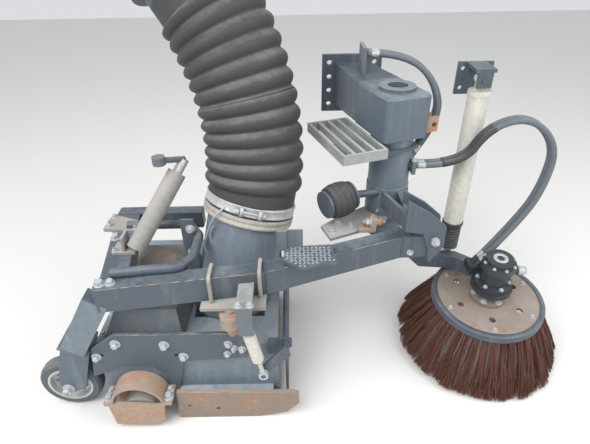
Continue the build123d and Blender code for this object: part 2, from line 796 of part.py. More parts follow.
def guide_roller():
    centre = NOZZLE_FRONT - SIDE_PLATE - HOUSING_DEPTH + 8 + 4 + ROLLER_WIDTH / 2
    wheel = Cylinder(ROLLER_R, ROLLER_WIDTH) - Pos(0, 0, -ROLLER_WIDTH / 2) * Cylinder(ROLLER_R - 14, 14)
    wheel += Pos(0, 0, -ROLLER_WIDTH / 2) * Cylinder(22, 14, align=LOW)
    wheel -= Cylinder(AXLE_R + RUNNING_GAP / 2, 3 * ROLLER_WIDTH)
    return Pos(ROLLER_X, centre, ROLLER_Z - 40) * Rot(-90, 0, 0) * wheel


def roller_axle():
    near = NOZZLE_FRONT - SIDE_PLATE - HOUSING_DEPTH
    return bar_y(ROLLER_X, ROLLER_Z - 40, near + 8, near + HOUSING_DEPTH - 6, AXLE_R)


def hanger_link():
    """Two straps from the arm down to the rusty boss that carries the nozzle."""
    y = NOZZLE_FRONT - SIDE_PLATE / 2
    plate_z = ARM_Z - ARM_HEIGHT / 2 - 10
    link = Pos(-186, y, SIDE_TOP) * Cylinder(16, plate_z - SIDE_TOP, align=LOW)
    link += Pos(-186, y, plate_z - 64) * Cylinder(34, 50, align=LOW)
    link += Pos(-178, 982, plate_z) * Box(184, 96, 10, align=LOW)
    for x in (-240, -102):
        reach = ARM_WIDTH / 2 + 10
        near, far = arm_centre_y(x) - reach, arm_centre_y(x) + reach
        high = ARM_Z + ARM_HEIGHT / 2 + 8
        hoop = [(x, far, plate_z - 14), (x, far, high), (x, near, high), (x, near, plate_z - 14)]
        link += bent(hoop, 14, 6)
    return link


def duct():
    """Suction duct: a round top that spreads to the nozzle's opening."""
    top = hose_plane(0.0).offset(-DUCT_NECK)

    def shell(cut):
        foot = Pos(DUCT_FOOT_X, DUCT_FOOT_Y, NOZZLE_TOP)
        corner = RectangleRounded(DUCT_FOOT_WIDTH - 2 * cut, DUCT_FOOT_DEPTH - 2 * cut, 110 - cut)
        return loft([foot * corner, top * Circle(DUCT_R - cut)])

    neck = extrude(top * (Circle(DUCT_R) - Circle(DUCT_R - DUCT_WALL)), amount=DUCT_NECK)
    return shell(0) - shell(DUCT_WALL) + neck


def hose_point(t):
    """Centre of the suction hose: a cubic curve from the clamp to the hopper's collar."""
    controls = [
        Vector(CLAMP_X, CLAMP_Y, CLAMP_Z),
        Vector(CLAMP_X + 58, CLAMP_Y + 56, CLAMP_Z + 210),
        Vector(COLLAR_X + 134, COLLAR_Y - 66, COLLAR_Z - 180),
        Vector(COLLAR_X, COLLAR_Y, COLLAR_Z),
    ]
    weights = [(1 - t) ** 3, 3 * t * (1 - t) ** 2, 3 * t * t * (1 - t), t**3]
    total = Vector(0, 0, 0)
    for weight, control in zip(weights, controls):
        total += control * weight
    return total


def hose_plane(t):
    """Plane square to the hose's centre line."""
    step = 0.001
    ahead, behind = hose_point(min(t + step, 1)), hose_point(max(t - step, 0))
    return Plane(origin=hose_point(t), x_dir=(0, 1, 0), z_dir=(ahead - behind).normalized())


def hose_length():
    """Length of the hose's centre line."""
    steps = 200
    return sum((hose_point((i + 1) / steps) - hose_point(i / steps)).length for i in range(steps))


def suction_hose(first, last, cuff_first, cuff_last):
    """Corrugated hose from station first to station last of its centre line."""
    length = hose_length()
    start = first + (HOSE_CUFF / length if cuff_first else 0)
    stop = last - (HOSE_CUFF / length if cuff_last else 0)
    rings = round((stop - start) * length / HOSE_PITCH)
    stations = [(first, HOSE_ROOT_R)] if cuff_first else []
    for ring in range(rings):
        base = start + (stop - start) * ring / rings
        pitch = (stop - start) / rings
        stations += [(base, HOSE_ROOT_R), (base + 0.3 * pitch, HOSE_CREST_R), (base + 0.7 * pitch, HOSE_CREST_R)]
    stations.append((stop, HOSE_ROOT_R))
    if cuff_last:
        stations.append((last, HOSE_ROOT_R))
    outer = loft([hose_plane(t) * Circle(radius) for t, radius in stations], ruled=True)
    bores = [first + (last - first) * i / 6 for i in range(7)]
    inner = loft([hose_plane(t) * Circle(HOSE_BORE_R) for t in bores], ruled=True)
    return outer - inner


def clamp_band():
    """Steel band round the hose's cuff, with its bolt housing at the front."""
    length = hose_length()
    low, high = hose_plane(8 / length), hose_plane(34 / length)
    band = loft([low * Circle(HOSE_ROOT_R + 3), high * Circle(HOSE_ROOT_R + 3)], ruled=True)
    cuff = [hose_plane(0.0) * Circle(HOSE_ROOT_R), hose_plane(HOSE_CUFF / length) * Circle(HOSE_ROOT_R)]
    return band - loft(cuff, ruled=True)


def seal_ring():
    """Moulded ring between the duct's neck and the hose."""
    plane = hose_plane(0.0)
    ring = extrude(plane * (Circle(HOSE_ROOT_R + 4) - Circle(DUCT_R)), amount=-30)
    return ring


def hopper_collar():
    """Steel collar at the hose's upper end, open for the hopper's inlet pipe."""
    plane = hose_plane(1.0)
    collar = extrude(plane * (Circle(HOSE_ROOT_R) - Circle(HOSE_BORE_R)), amount=COLLAR_LENGTH)
    collar += extrude(plane.offset(COLLAR_LENGTH - 10) * (Circle(HOSE_ROOT_R + 28) - Circle(HOSE_BORE_R)), amount=10)
    return collar


def front_flap():
    """Rubber-faced flap across the nozzle's front end, on its shaft."""
    near, far = NOZZLE_FRONT + NOZZLE_WALL + 4, NOZZLE_BACK - NOZZLE_WALL - 4
    depth = far - near
    flap = Pos(FLAP_HINGE_X, (near + far) / 2, FLAP_BOTTOM) * Box(FLAP_THICKNESS, depth, FLAP_HINGE_Z - FLAP_BOTTOM, align=LOW)
    flap += bar_y(FLAP_HINGE_X, FLAP_HINGE_Z, NOZZLE_FRONT - 46, NOZZLE_BACK + 12, FLAP_SHAFT_R)
    lever = [
        (FLAP_HINGE_X + 14, FLAP_HINGE_Z - 12),
        (FLAP_HINGE_X + 10, FLAP_HINGE_Z + 14),
        (FLAP_HINGE_X - 14, FLAP_HINGE_Z + 12),
        (CYLINDER_EYE_X - 14, CYLINDER_EYE_Z + 6),
        (CYLINDER_EYE_X - 4, CYLINDER_EYE_Z - 14),
        (CYLINDER_EYE_X + 14, CYLINDER_EYE_Z - 6),
    ]
    flap += face_plate(lever, NOZZLE_FRONT - 46, 8)
    flap += bar_y(CYLINDER_EYE_X, CYLINDER_EYE_Z, NOZZLE_FRONT - 66, NOZZLE_FRONT - 46, CYLINDER_ROD_R)
    return flap


def flap_bearing():
    """Two ears on the nozzle that carry the flap's shaft."""
    ears = None
    for near in (NOZZLE_FRONT - 8, NOZZLE_BACK):
        outline = [
            (NOZZLE_RIGHT - 30, NOZZLE_TOP - 40),
            (NOZZLE_RIGHT, NOZZLE_TOP - 40),
            (FLAP_HINGE_X + 18, FLAP_HINGE_Z - 16),
            (FLAP_HINGE_X + 18, FLAP_HINGE_Z + 16),
            (NOZZLE_RIGHT - 30, FLAP_HINGE_Z + 16),
        ]
        ear = face_plate(outline, near, 8, [(FLAP_HINGE_X, FLAP_HINGE_Z, FLAP_SHAFT_R + RUNNING_GAP / 2)])
        ears = ear if ears is None else ears + ear
    return ears


CYLINDER_Y = 1.0 * (NOZZLE_FRONT - 56)


def cylinder_line():
    top = Vector(CYLINDER_TOP_X, CYLINDER_Y, CYLINDER_TOP_Z)
    eye = Vector(CYLINDER_EYE_X, CYLINDER_Y, CYLINDER_EYE_Z)
    return top, eye, (eye - top).normalized()


def flap_barrel():
    top, eye, along = cylinder_line()
    body = rod(tuple(top + along * 30), tuple(top + along * 134), CYLINDER_R)
    body += rod(tuple(top), tuple(top + along * 32), 9)
    body += bar_y(CYLINDER_TOP_X, CYLINDER_TOP_Z, CYLINDER_Y - 9, CYLINDER_Y + 9, 13)
    body -= bar_y(CYLINDER_TOP_X, CYLINDER_TOP_Z, CYLINDER_Y - 20, CYLINDER_Y + 20, 6 + RUNNING_GAP / 2)
    body -= rod(tuple(top + along * 60), tuple(top + along * 150), CYLINDER_ROD_R + RUNNING_GAP / 2)
    return body


def flap_rod():
    """Rod and eye: the eye's bore sits off its pin by half of what the pin wanders as the flap opens."""
    top, eye, along = cylinder_line()
    bore = eye + along * FLAP_EYE_ALONG + Vector(FLAP_EYE_ASIDE, 0, 0)
    body = rod(tuple(top + along * 80), tuple(eye), CYLINDER_ROD_R)
    body += bar_y(bore.X, bore.Z, CYLINDER_Y - 9, CYLINDER_Y + 9, 14)
    body -= bar_y(bore.X, bore.Z, CYLINDER_Y - 30, CYLINDER_Y + 30, CYLINDER_ROD_R + FLAP_EYE_SLACK)
    return body


def cylinder_bracket():
    """Folded bracket on the arm's face with the flap cylinder's upper pin."""
    near = CYLINDER_Y - 18
    outline = [
        (CYLINDER_TOP_X - 20, CYLINDER_TOP_Z - 16),
        (CYLINDER_TOP_X + 20, CYLINDER_TOP_Z - 16),
        (CYLINDER_TOP_X + 22, ARM_Z + 10),
        (CYLINDER_TOP_X - 22, ARM_Z + 10),
    ]
    bracket = face_plate(outline, near, 6)
    depth = 110
    lid = Pos(CYLINDER_TOP_X, near, ARM_Z + 2) * Box(44, depth, 8, align=(Align.CENTER, Align.MIN, Align.MIN))
    bracket += lid
    bracket += bar_y(CYLINDER_TOP_X, CYLINDER_TOP_Z, near, CYLINDER_Y + 14, 6)
    return bracket - arm_envelope()


def strut_bracket():
    """Channel that hangs the lift strut from the chassis."""
    half = 16.0
    plate = 10.0
    back = STRUT_Y + 66
    top = STRUT_TOP + 34
    bracket = Pos(STRUT_X, back, top - 100) * Box(110, plate, 100, align=(Align.CENTER, Align.MIN, Align.MIN))
    lid_start = STRUT_Y - half - plate
    bracket += Pos(STRUT_X, lid_start, top - plate) * Box(60, back - lid_start + 1, plate, align=(Align.CENTER, Align.MIN, Align.MIN))
    for near in (lid_start, STRUT_Y + half):
        bracket += Pos(STRUT_X, near, STRUT_TOP - 22) * Box(44, plate, top - STRUT_TOP + 21, align=(Align.CENTER, Align.MIN, Align.MIN))
    for side in (-1, 1):
        for height in (-1, 1):
            hole = Pos(STRUT_X + side * 38, back, top - 50 + height * 30) * Rot(90, 0, 0) * Cylinder(7, 60)
            bracket -= hole
    bracket += bar_y(STRUT_X, STRUT_TOP, lid_start - 4, STRUT_Y + half + plate + 4, EYE_PIN_R)
    return bracket


def strut_barrel():
    foot = STRUT_BOTTOM
    head = STRUT_TOP - STRUT_NECK
    barrel = Pos(STRUT_X, STRUT_Y, foot) * Cylinder(STRUT_R, head - foot, align=LOW)
    barrel -= Pos(STRUT_X, STRUT_Y, foot + 20) * Cylinder(STRUT_R - 5, head - foot - 30, align=LOW)
    barrel -= Pos(STRUT_X, STRUT_Y, foot - 1) * Cylinder(ROD_R + RUNNING_GAP / 2, 40, align=LOW)
    return barrel


def strut_cap():
    """Black cap and eye on the strut's top."""
    head = STRUT_TOP - STRUT_NECK
    cap = Pos(STRUT_X, STRUT_Y, head) * Cylinder(STRUT_R + 2, 14, align=LOW)
    cap += Pos(STRUT_X, STRUT_Y, head) * Box(28, 28, STRUT_NECK, align=LOW)
    cap += bar_y(STRUT_X, STRUT_TOP, STRUT_Y - 15, STRUT_Y + 15, EYE_R)
    return cap - bar_y(STRUT_X, STRUT_TOP, STRUT_Y - 40, STRUT_Y + 40, EYE_PIN_R + RUNNING_GAP / 2)


def strut_rod():
    """Rod and eye: the eye's bore sits off its pin by half of what the pin wanders as the arm lifts."""
    x, z = STRUT_X + STRUT_EYE_ASIDE, STRUT_EYE_Z + STRUT_EYE_ALONG
    shaft = rod((STRUT_X, STRUT_Y, z), (STRUT_X, STRUT_Y, STRUT_BOTTOM + 240), ROD_R)
    shaft += bar_y(x, z, STRUT_Y - 13, STRUT_Y + 13, EYE_R)
    return shaft - bar_y(x, z, STRUT_Y - 40, STRUT_Y + 40, EYE_PIN_R + STRUT_EYE_SLACK)


def strut_boot():
    """Folded rubber boot over the strut's rod."""
    low = STRUT_EYE_Z + EYE_R + 14
    high = STRUT_BOTTOM - 0.3
    folds = 9
    inner = ROD_R + 1
    profile = [(inner, low)]
    for fold in range(folds):
        base = low + (high - low) * fold / folds
        rise = (high - low) / folds
        profile += [(inner + 6, base), (STRUT_R + 1, base + 0.5 * rise)]
    profile += [(inner + 6, high), (inner, high)]
    return Pos(STRUT_X, STRUT_Y, 0) * turned(profile)


def brush_frame():
    """Location of the plate brush: its centre, tilted towards the kerb."""
    return Pos(BRUSH_X, BRUSH_Y, BRUSH_Z) * Rot(BRUSH_TILT, 0, 0)


def port_block():
    """Block on the motor's foot that the two hoses screw into."""
    return Pos(BRUSH_X - 44, BRUSH_Y + 59, BRUSH_Z + 83) * Box(50, 56, 28, align=LOW)


def brush_arm():
    """Box-section arm from the clevis to the motor's carrier, with the strut's pin."""
    pivot = (BRUSH_PIVOT_X, COLUMN_Y, BRUSH_PIVOT_Z)
    elbow = (BRUSH_PIVOT_X + 96, COLUMN_Y, BRUSH_ARM_Z + 4)
    turn = (STRUT_X + 14, COLUMN_Y - 14, BRUSH_ARM_Z + 4)
    end = (BRUSH_X - 12, BRUSH_Y + 58, BRUSH_ARM_Z + 4)
    line = Polyline(pivot, elbow, turn, end)
    section = box_tube(BRUSH_ARM_WIDTH, BRUSH_ARM_HEIGHT, 5)
    arm = sweep(across(pivot, elbow) * section, path=line, transition=Transition.RIGHT)
    arm += bar_y(BRUSH_PIVOT_X, BRUSH_PIVOT_Z, COLUMN_Y - BRUSH_ARM_WIDTH / 2, COLUMN_Y + BRUSH_ARM_WIDTH / 2, 27)
    arm -= bar_y(BRUSH_PIVOT_X, BRUSH_PIVOT_Z, COLUMN_Y - 80, COLUMN_Y + 80, BRUSH_PIVOT_R)
    arm += bar_y(STRUT_X, STRUT_EYE_Z, COLUMN_Y, STRUT_Y + 22, EYE_PIN_R)
    return arm - brush_frame() * Pos(0, 0, CARRIER_UNDER - 30) * Cylinder(CARRIER_R, 100, align=LOW) - port_block()


def motor_carrier():
    plate = Pos(0, 0, CARRIER_UNDER) * Cylinder(CARRIER_R, CARRIER, align=LOW)
    plate -= Cylinder(24, 300)
    return brush_frame() * plate


def brush_motor():
    base = CARRIER_UNDER + CARRIER
    motor = Pos(0, 0, base) * Cylinder(60, 20, align=LOW)
    motor += Pos(0, 0, base + 20) * Cylinder(MOTOR_R - 8, MOTOR_HEIGHT - 50, align=LOW)
    motor += Pos(0, 0, base + MOTOR_HEIGHT - 44) * Cylinder(MOTOR_R + 4, 30, align=LOW)
    motor += Pos(0, 0, base + MOTOR_HEIGHT - 14) * Cylinder(MOTOR_R - 6, 14, align=LOW)
    motor += Pos(48, 0, base + 62) * Rot(0, 90, 0) * Cylinder(13, 46, align=LOW)
    motor -= Pos(0, 0, base - 2) * Cylinder(SHAFT_R + RUNNING_GAP / 2, 24, align=LOW)
    return brush_frame() * motor


def brush_disc():
    disc = Cylinder(DISC_R, DISC_THICKNESS, align=LOW)
    for slot in range(6):
        disc -= Rot(0, 0, slot * 60 + 20) * Pos(112, 0, 0) * Cylinder(11, 60)
    return brush_frame() * disc


def brush_rim():
    ring = Cylinder(RIM_R, RIM_HEIGHT, align=LOW) - Cylinder(DISC_R, 3 * RIM_HEIGHT)
    return brush_frame() * Pos(0, 0, -RIM_HEIGHT / 2) * ring


def brush_hub():
    hub = Pos(0, 0, DISC_THICKNESS) * Cylinder(HUB_R, 12, align=LOW)
    hub += Pos(0, 0, DISC_THICKNESS) * Cylinder(23, CARRIER_UNDER - DISC_THICKNESS + 8, align=LOW)
    hub += Pos(0, 0, DISC_THICKNESS) * Cylinder(SHAFT_R, CARRIER_UNDER + CARRIER + 20 - DISC_THICKNESS, align=LOW)
    return brush_frame() * hub


def brush_bristles():
    """Tufts of wire that splay out from under the disc."""
    tufts = None
    root_z = -RIM_HEIGHT / 2
    root = Pos(TUFT_ROOT_R, 0, root_z) * Rectangle(20, 22)
    tip = Pos(TUFT_TIP_R - 12, 0, root_z - TUFT_HEIGHT) * Rectangle(24, 34)
    tuft = loft([root, tip], ruled=True)
    return [brush_frame() * Rot(0, 0, turn * 360 / TUFTS) * tuft for turn in range(TUFTS)]


BRUSH_HOSE_ROUTE = [
    (398.0, 1325.0, 700.0),
    (532.0, 1303.0, 704.0),
    (594.0, 1298.0, 834.0),
    (715.0, 1300.0, 864.0),
    (812.0, 1292.0, 772.0),
    (806.0, 1284.0, 640.0),
    (762.0, 1276.0, 520.0),
    (646.0, 1256.0, 362.0),
]
BRUSH_HOSE_STEP = (0.0, 22.0, 0.0)
BEAM_HOSE_ROUTE = [
    (262.0, 1560.0, 1000.0),
    (366.0, 1510.0, 1006.0),
    (456.0, 1462.0, 930.0),
    (470.0, 1424.0, 820.0),
    (392.0, 1392.0, 728.0),
]
BEAM_HOSE_STEP = (0.0, -24.0, 0.0)
FITTING_R = 11.4
FITTING_LENGTH = 28.0


def fitting(route, end):
    """Hose fitting that carries one end of a route straight on."""
    tip, before = (route[0], route[1]) if end == "first" else (route[-1], route[-2])
    along = (Vector(*tip) - Vector(*before)).normalized()
    return rod(tip, tuple(Vector(*tip) + along * FITTING_LENGTH), FITTING_R)


def fittings(route, step, end):
    return fitting(route, end) + fitting(shifted(route, step), end)


def hose_manifold():
    """Plate on the column where the beam's hoses meet the brush's hoses, and their bracket on the beam."""
    left = COLUMN_X + COLUMN_OD / 2 - 4
    plate = Pos(left, 1352, 680) * Box(BRUSH_HOSE_ROUTE[0][0] - FITTING_LENGTH + 16 - left, 112, 44, align=(Align.MIN, Align.CENTER, Align.MIN))
    plate += fittings(BRUSH_HOSE_ROUTE, BRUSH_HOSE_STEP, "first")
    plate += fittings(BEAM_HOSE_ROUTE, BEAM_HOSE_STEP, "last")
    return plate - COLUMN_AXIS * Cylinder(COLUMN_OD / 2, THROUGH) + beam_bulkhead()


def beam_bulkhead():
    """Bracket on the beam's top for the beam's hoses."""
    bracket = Pos(236, 1572, 930) * Box(12, 96, 90, align=LOW)
    bracket += fittings(BEAM_HOSE_ROUTE, BEAM_HOSE_STEP, "first")
    return bracket - beam_envelope()


def shifted(route, step):
    return [tuple(a + b for a, b in zip(point, step)) for point in route]


BUILDERS = {
    "mount_flange": chassis_flange,
    "main_beam": main_beam,
    "pivot_head": pivot_head,
    "column_tube": column_tube,
    "step_grating": step_grating,
    "step_bracket": step_bracket,
    "swing_lug": swing_lug,
    "brush_clevis": brush_clevis,
    "hose_manifold": hose_manifold,
    "hopper_collar": hopper_collar,
    "strut_bracket": strut_bracket,
    "swing_sleeve": swing_sleeve,
    "swing_bracket": swing_bracket,
    "lift_pin": lift_pin,
    "base_plate": base_plate,
    "stop_bracket": stop_bracket,
    "air_buffer": air_buffer,
    "buffer_bracket": buffer_bracket,
    "front_arm": front_arm,
    "arm_knuckle": arm_knuckle,
    "arm_leg": arm_leg,
    "wheel_fork": wheel_fork,
    "support_tyre": support_tyre,
    "support_rim": support_rim,
    "rear_member": rear_member,
    "corner_plate": corner_plate,
    "guard_loop": guard_loop,
    "inspection_cover": inspection_cover,
    "crank_tube": crank_tube,
    "crank_handle": crank_handle,
    "checker_step": checker_step,
    "nozzle_body": nozzle_body,
    "nozzle_hood": nozzle_hood,
    "side_plate": side_plate,
    "skid": skid,
    "roller_housing": roller_housing,
    "guide_roller": guide_roller,
    "hanger_link": hanger_link,
    "suction_duct": duct,
    "seal_ring": seal_ring,
    "clamp_band": clamp_band,
    "front_flap": front_flap,
    "flap_bearing": flap_bearing,
    "cylinder_bracket": cylinder_bracket,
    "flap_barrel": flap_barrel,
    "flap_rod": flap_rod,
    "strut_barrel": strut_barrel,
    "strut_rod": strut_rod,
    "strut_boot": strut_boot,
    "brush_arm": brush_arm,
    "brush_motor": brush_motor,
    "brush_disc": brush_disc,
    "brush_bristles": brush_bristles,
}


def main():
    for name, build in BUILDERS.items():
        add(name, build())
    add("strut_barrel", nodes["strut_barrel"] + strut_cap())
    add("brush_disc", nodes["brush_disc"] + brush_rim() + brush_hub())
    ports = fittings(BRUSH_HOSE_ROUTE, BRUSH_HOSE_STEP, "last")
    add("brush_motor", nodes["brush_motor"] + motor_carrier() + ports + port_block())
    add("hose_lower", suction_hose(0.0, 0.5, True, False))
    add("hose_upper", suction_hose(0.5, 1.0, False, True))
    for name, route, step in (
        ("brush_hose", BRUSH_HOSE_ROUTE, BRUSH_HOSE_STEP),
        ("beam_hose", BEAM_HOSE_ROUTE, BEAM_HOSE_STEP),
    ):
        add(name + "_near", hose(route, HOSE_R))
        add(name + "_far", hose(shifted(route, step), HOSE_R))
    os.makedirs("parts", exist_ok=True)
    for name, shape in nodes.items():
        solids = shape if isinstance(shape, list) else shape.solids()
        placed = Compound(children=[ORIGIN * solid for solid in solids])
        export_step(placed, f"parts/{name}.step")
        print(f"{name}: {len(solids)} solids, {sum(s.volume for s in solids) / 1000:.0f} cm3")


main()
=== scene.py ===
"""Looks of a street sweeper's side sweeping unit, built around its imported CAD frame."""

import logging
import math
from dataclasses import dataclass, field
from enum import Enum
from typing import Iterable, Sequence

import bmesh
import bpy
import numpy as np
from mathutils import Matrix


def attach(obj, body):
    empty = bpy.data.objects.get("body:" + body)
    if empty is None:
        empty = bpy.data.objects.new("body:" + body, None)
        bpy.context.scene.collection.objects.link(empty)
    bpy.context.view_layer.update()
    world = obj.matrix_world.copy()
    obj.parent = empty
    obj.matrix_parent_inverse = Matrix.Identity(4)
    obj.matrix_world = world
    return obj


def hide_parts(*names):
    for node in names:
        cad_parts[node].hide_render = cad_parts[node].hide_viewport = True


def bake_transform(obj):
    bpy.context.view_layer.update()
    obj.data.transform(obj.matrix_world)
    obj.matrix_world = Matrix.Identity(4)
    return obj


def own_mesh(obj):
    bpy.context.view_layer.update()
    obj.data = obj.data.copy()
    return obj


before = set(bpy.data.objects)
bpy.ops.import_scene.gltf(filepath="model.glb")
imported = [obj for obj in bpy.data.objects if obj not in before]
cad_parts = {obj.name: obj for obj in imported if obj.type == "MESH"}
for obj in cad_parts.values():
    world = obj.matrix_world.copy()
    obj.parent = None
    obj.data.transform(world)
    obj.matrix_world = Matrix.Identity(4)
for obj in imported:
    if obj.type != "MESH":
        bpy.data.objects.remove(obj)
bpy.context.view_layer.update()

LOG = logging.getLogger("sweeping_unit")
FLANGE = np.array([215.0, 1700.0, 862.0])
MM = 0.001
RELIEF = 0.0012
Array = np.ndarray
Station = tuple[float, float, float]
Colour = tuple[float, float, float]

UP: Station = (0.0, 0.0, 1.0)
DOWN: Station = (0.0, 0.0, -1.0)
KERB: Station = (0.0, -1.0, 0.0)
BRUSH_CENTRE: Station = (676.0, 1205.0, 235.0)
BRUSH_AXIS: Station = (0.0, -0.104528, 0.994522)
CLAMP_CENTRE: Station = (-144.0, 1255.0, 600.0)
CLAMP_PULL: Station = (58.0, 56.0, 210.0)
COLLAR_CENTRE: Station = (-275.0, 1425.0, 1225.0)
COLLAR_PULL: Station = (134.0, -66.0, -180.0)
COLUMN_LINE: Station = (312.0, 1350.0, 0.0)
STRUT_LINE: Station = (570.0, 1376.0, 0.0)
HANGER_LINE: Station = (-186.0, 947.0, 0.0)
WHEEL_CENTRE: Station = (-745.0, 987.0, 100.0)


def row(stations: Sequence) -> Array:
    """Turns stations in millimetres above the ground frame into metres in the row's frame."""
    return (np.asarray(stations, dtype=float) - FLANGE) * MM


def mesh_object(
    name: str, verts: Array, faces: Iterable[Sequence[int]], smooth: bool = True
) -> bpy.types.Object:
    """Makes a mesh object from stations.

    Args:
        name: the piece's name.
        verts: n by 3 stations in millimetres.
        faces: vertex numbers of each face.
        smooth: whether the faces shade smoothly.

    Returns:
        The object, at the origin, linked to the scene.
    """
    mesh = bpy.data.meshes.new(name)
    mesh.from_pydata(row(verts).tolist(), [], [list(f) for f in faces])
    mesh.polygons.foreach_set("use_smooth", [smooth] * len(mesh.polygons))
    mesh.update()
    obj = bpy.data.objects.new(name, mesh)
    bpy.context.scene.collection.objects.link(obj)
    return obj


def grid_faces(rows: int, cols: int, wrap: bool) -> Array:
    """Quads of a rows by cols grid.

    Args:
        rows: points along the first parameter.
        cols: points along the second parameter.
        wrap: whether the second parameter closes on itself.

    Returns:
        Faces as an m by 4 array: (i, j), (i, j+1), (i+1, j+1), (i+1, j).
    """
    i = np.arange(rows - 1)[:, None]
    j = np.arange(cols if wrap else cols - 1)[None, :]
    k = (j + 1) % cols
    quads = np.stack([i * cols + j, i * cols + k, (i + 1) * cols + k, (i + 1) * cols + j], axis=-1)
    return quads.reshape(-1, 4)


def capped(faces: Array, rows: int, cols: int) -> list:
    """Adds end caps to a wrapped grid's quads.

    Args:
        faces: the grid's quads.
        rows: points along the grid.
        cols: points round the grid.

    Returns:
        The quads and the two caps as tuples of vertex numbers.
    """
    out = [tuple(f) for f in faces]
    out.append(tuple(range(cols - 1, -1, -1)))
    out.append(tuple((rows - 1) * cols + j for j in range(cols)))
    return out


def unit(vectors: Array) -> Array:
    """Vectors scaled to length one along the last axis."""
    return vectors / np.linalg.norm(vectors, axis=-1, keepdims=True)


def path_frames(path: Array, hint: Sequence[float] = (0.0, 1.0, 0.0)) -> tuple[Array, Array, Array]:
    """Tangent, side and up of each point of a path.

    The side is the hint with its share along the tangent taken out, so the frames do not twist
    where the path stays away from the hint's direction.

    Args:
        path: n by 3 points.
        hint: direction that the side stays near.

    Returns:
        Three n by 3 arrays of unit vectors.
    """
    tangent = unit(np.gradient(path, axis=0))
    hint_vector = np.asarray(hint, dtype=float)
    side = unit(hint_vector - (tangent @ hint_vector)[:, None] * tangent)
    return tangent, side, np.cross(tangent, side)


def tube_points(path: Array, radius: Array, sides: int, hint: Sequence[float] = (0.0, 1.0, 0.0)) -> Array:
    """Grid round a path: point + radius (cos a side + sin a up), with a from 0 to a full turn.

    Args:
        path: n by 3 stations.
        radius: n radii.
        sides: points round.
        hint: direction that the frames' side stays near.

    Returns:
        n by sides by 3 stations.
    """
    _, side, up = path_frames(path, hint)
    turn = np.linspace(0, 2 * np.pi, sides, endpoint=False)
    ring = np.cos(turn)[None, :, None] * side[:, None, :] + np.sin(turn)[None, :, None] * up[:, None, :]
    return path[:, None, :] + np.asarray(radius)[:, None, None] * ring


def tube(
    name: str, path: Array, radius: float | Array, sides: int = 16, hint: Sequence[float] = (0.0, 1.0, 0.0)
) -> bpy.types.Object:
    """Closed tube along a path of stations, from tube_points and two end caps.

    Args:
        name: the piece's name.
        path: n by 3 stations.
        radius: one radius, or one for each station.
        sides: points round.
        hint: direction that the frames' side stays near.

    Returns:
        The tube as one closed mesh.
    """
    path = np.asarray(path, dtype=float)
    radii = np.broadcast_to(np.asarray(radius, dtype=float), (len(path),))
    points = tube_points(path, radii, sides, hint)
    faces = capped(grid_faces(len(path), sides, True), len(path), sides)
    return mesh_object(name, points.reshape(-1, 3), faces)


def axis_frame(axis: Sequence[float]) -> Array:
    """Right-handed set of unit vectors about an axis.

    Args:
        axis: the direction of the third vector.

    Returns:
        3 by 3 array whose rows are the side, the up and the axis.
    """
    z = unit(np.asarray(axis, dtype=float))
    helper = np.array([0.0, 0.0, 1.0]) if abs(z[2]) < 0.9 else np.array([1.0, 0.0, 0.0])
    x = unit(np.cross(helper, z))
    return np.stack([x, np.cross(z, x), z])


def lathe_points(profile: Sequence, centre: Sequence[float], axis: Sequence[float], sides: int) -> Array:
    """Surface of revolution: centre + h axis + r (cos a side + sin a up) for each (r, h).

    Args:
        profile: radius, height pairs.
        centre: station that the heights count from.
        axis: the piece's axis.
        sides: points round.

    Returns:
        Array of stations, one row for each pair and one column for each angle a.
    """
    basis = axis_frame(axis)
    r, h = np.asarray(profile, dtype=float).T
    turn = np.linspace(0, 2 * np.pi, sides, endpoint=False)
    ring = np.cos(turn)[:, None] * basis[0] + np.sin(turn)[:, None] * basis[1]
    return np.asarray(centre) + h[:, None, None] * basis[2] + r[:, None, None] * ring[None, :, :]


def lathe(
    name: str, profile: Sequence, centre: Sequence[float], axis: Sequence[float], sides: int = 48
) -> bpy.types.Object:
    """Closed turned piece from an open profile, capped at both ends.

    Args:
        name: the piece's name.
        profile: radius, height pairs from one end to the other.
        centre: station that the heights count from.
        axis: the piece's axis.
        sides: points round.

    Returns:
        The piece as one closed mesh.
    """
    points = lathe_points(profile, centre, axis, sides)
    faces = capped(grid_faces(len(profile), sides, True), len(profile), sides)
    return mesh_object(name, points.reshape(-1, 3), faces)


def ring_solid(
    name: str,
    profile: Sequence,
    centre: Station,
    axis: Station,
    sides: int = 96,
    ribs: int = 0,
    rise: float = 0.0,
) -> bpy.types.Object:
    """Closed ring turned from a closed profile of radius, height pairs.

    With ribs, each outer point moves out by rise (0.5 + 0.5 cos(ribs a))^2 at the angle a.

    Args:
        name: the piece's name.
        profile: corners of the section, in order.
        centre: station that the heights count from.
        axis: the ring's axis.
        sides: points round.
        ribs: number of upright ribs.
        rise: how far the ribs stand out in millimetres.

    Returns:
        The ring as one closed mesh.
    """
    points = lathe_points(profile, centre, axis, sides)
    if ribs:
        basis = axis_frame(axis)
        turn = np.linspace(0, 2 * np.pi, sides, endpoint=False)
        outward = np.cos(turn)[:, None] * basis[0] + np.sin(turn)[:, None] * basis[1]
        lift = rise * (0.5 + 0.5 * np.cos(ribs * turn)) ** 2
        radii = np.asarray(profile, dtype=float)[:, 0]
        outer = (radii > radii.mean()).astype(float)
        points = points + outer[:, None, None] * lift[None, :, None] * outward[None, :, :]
    count = len(profile) * sides
    return mesh_object(name, points.reshape(-1, 3), grid_faces(len(profile) + 1, sides, True) % count)


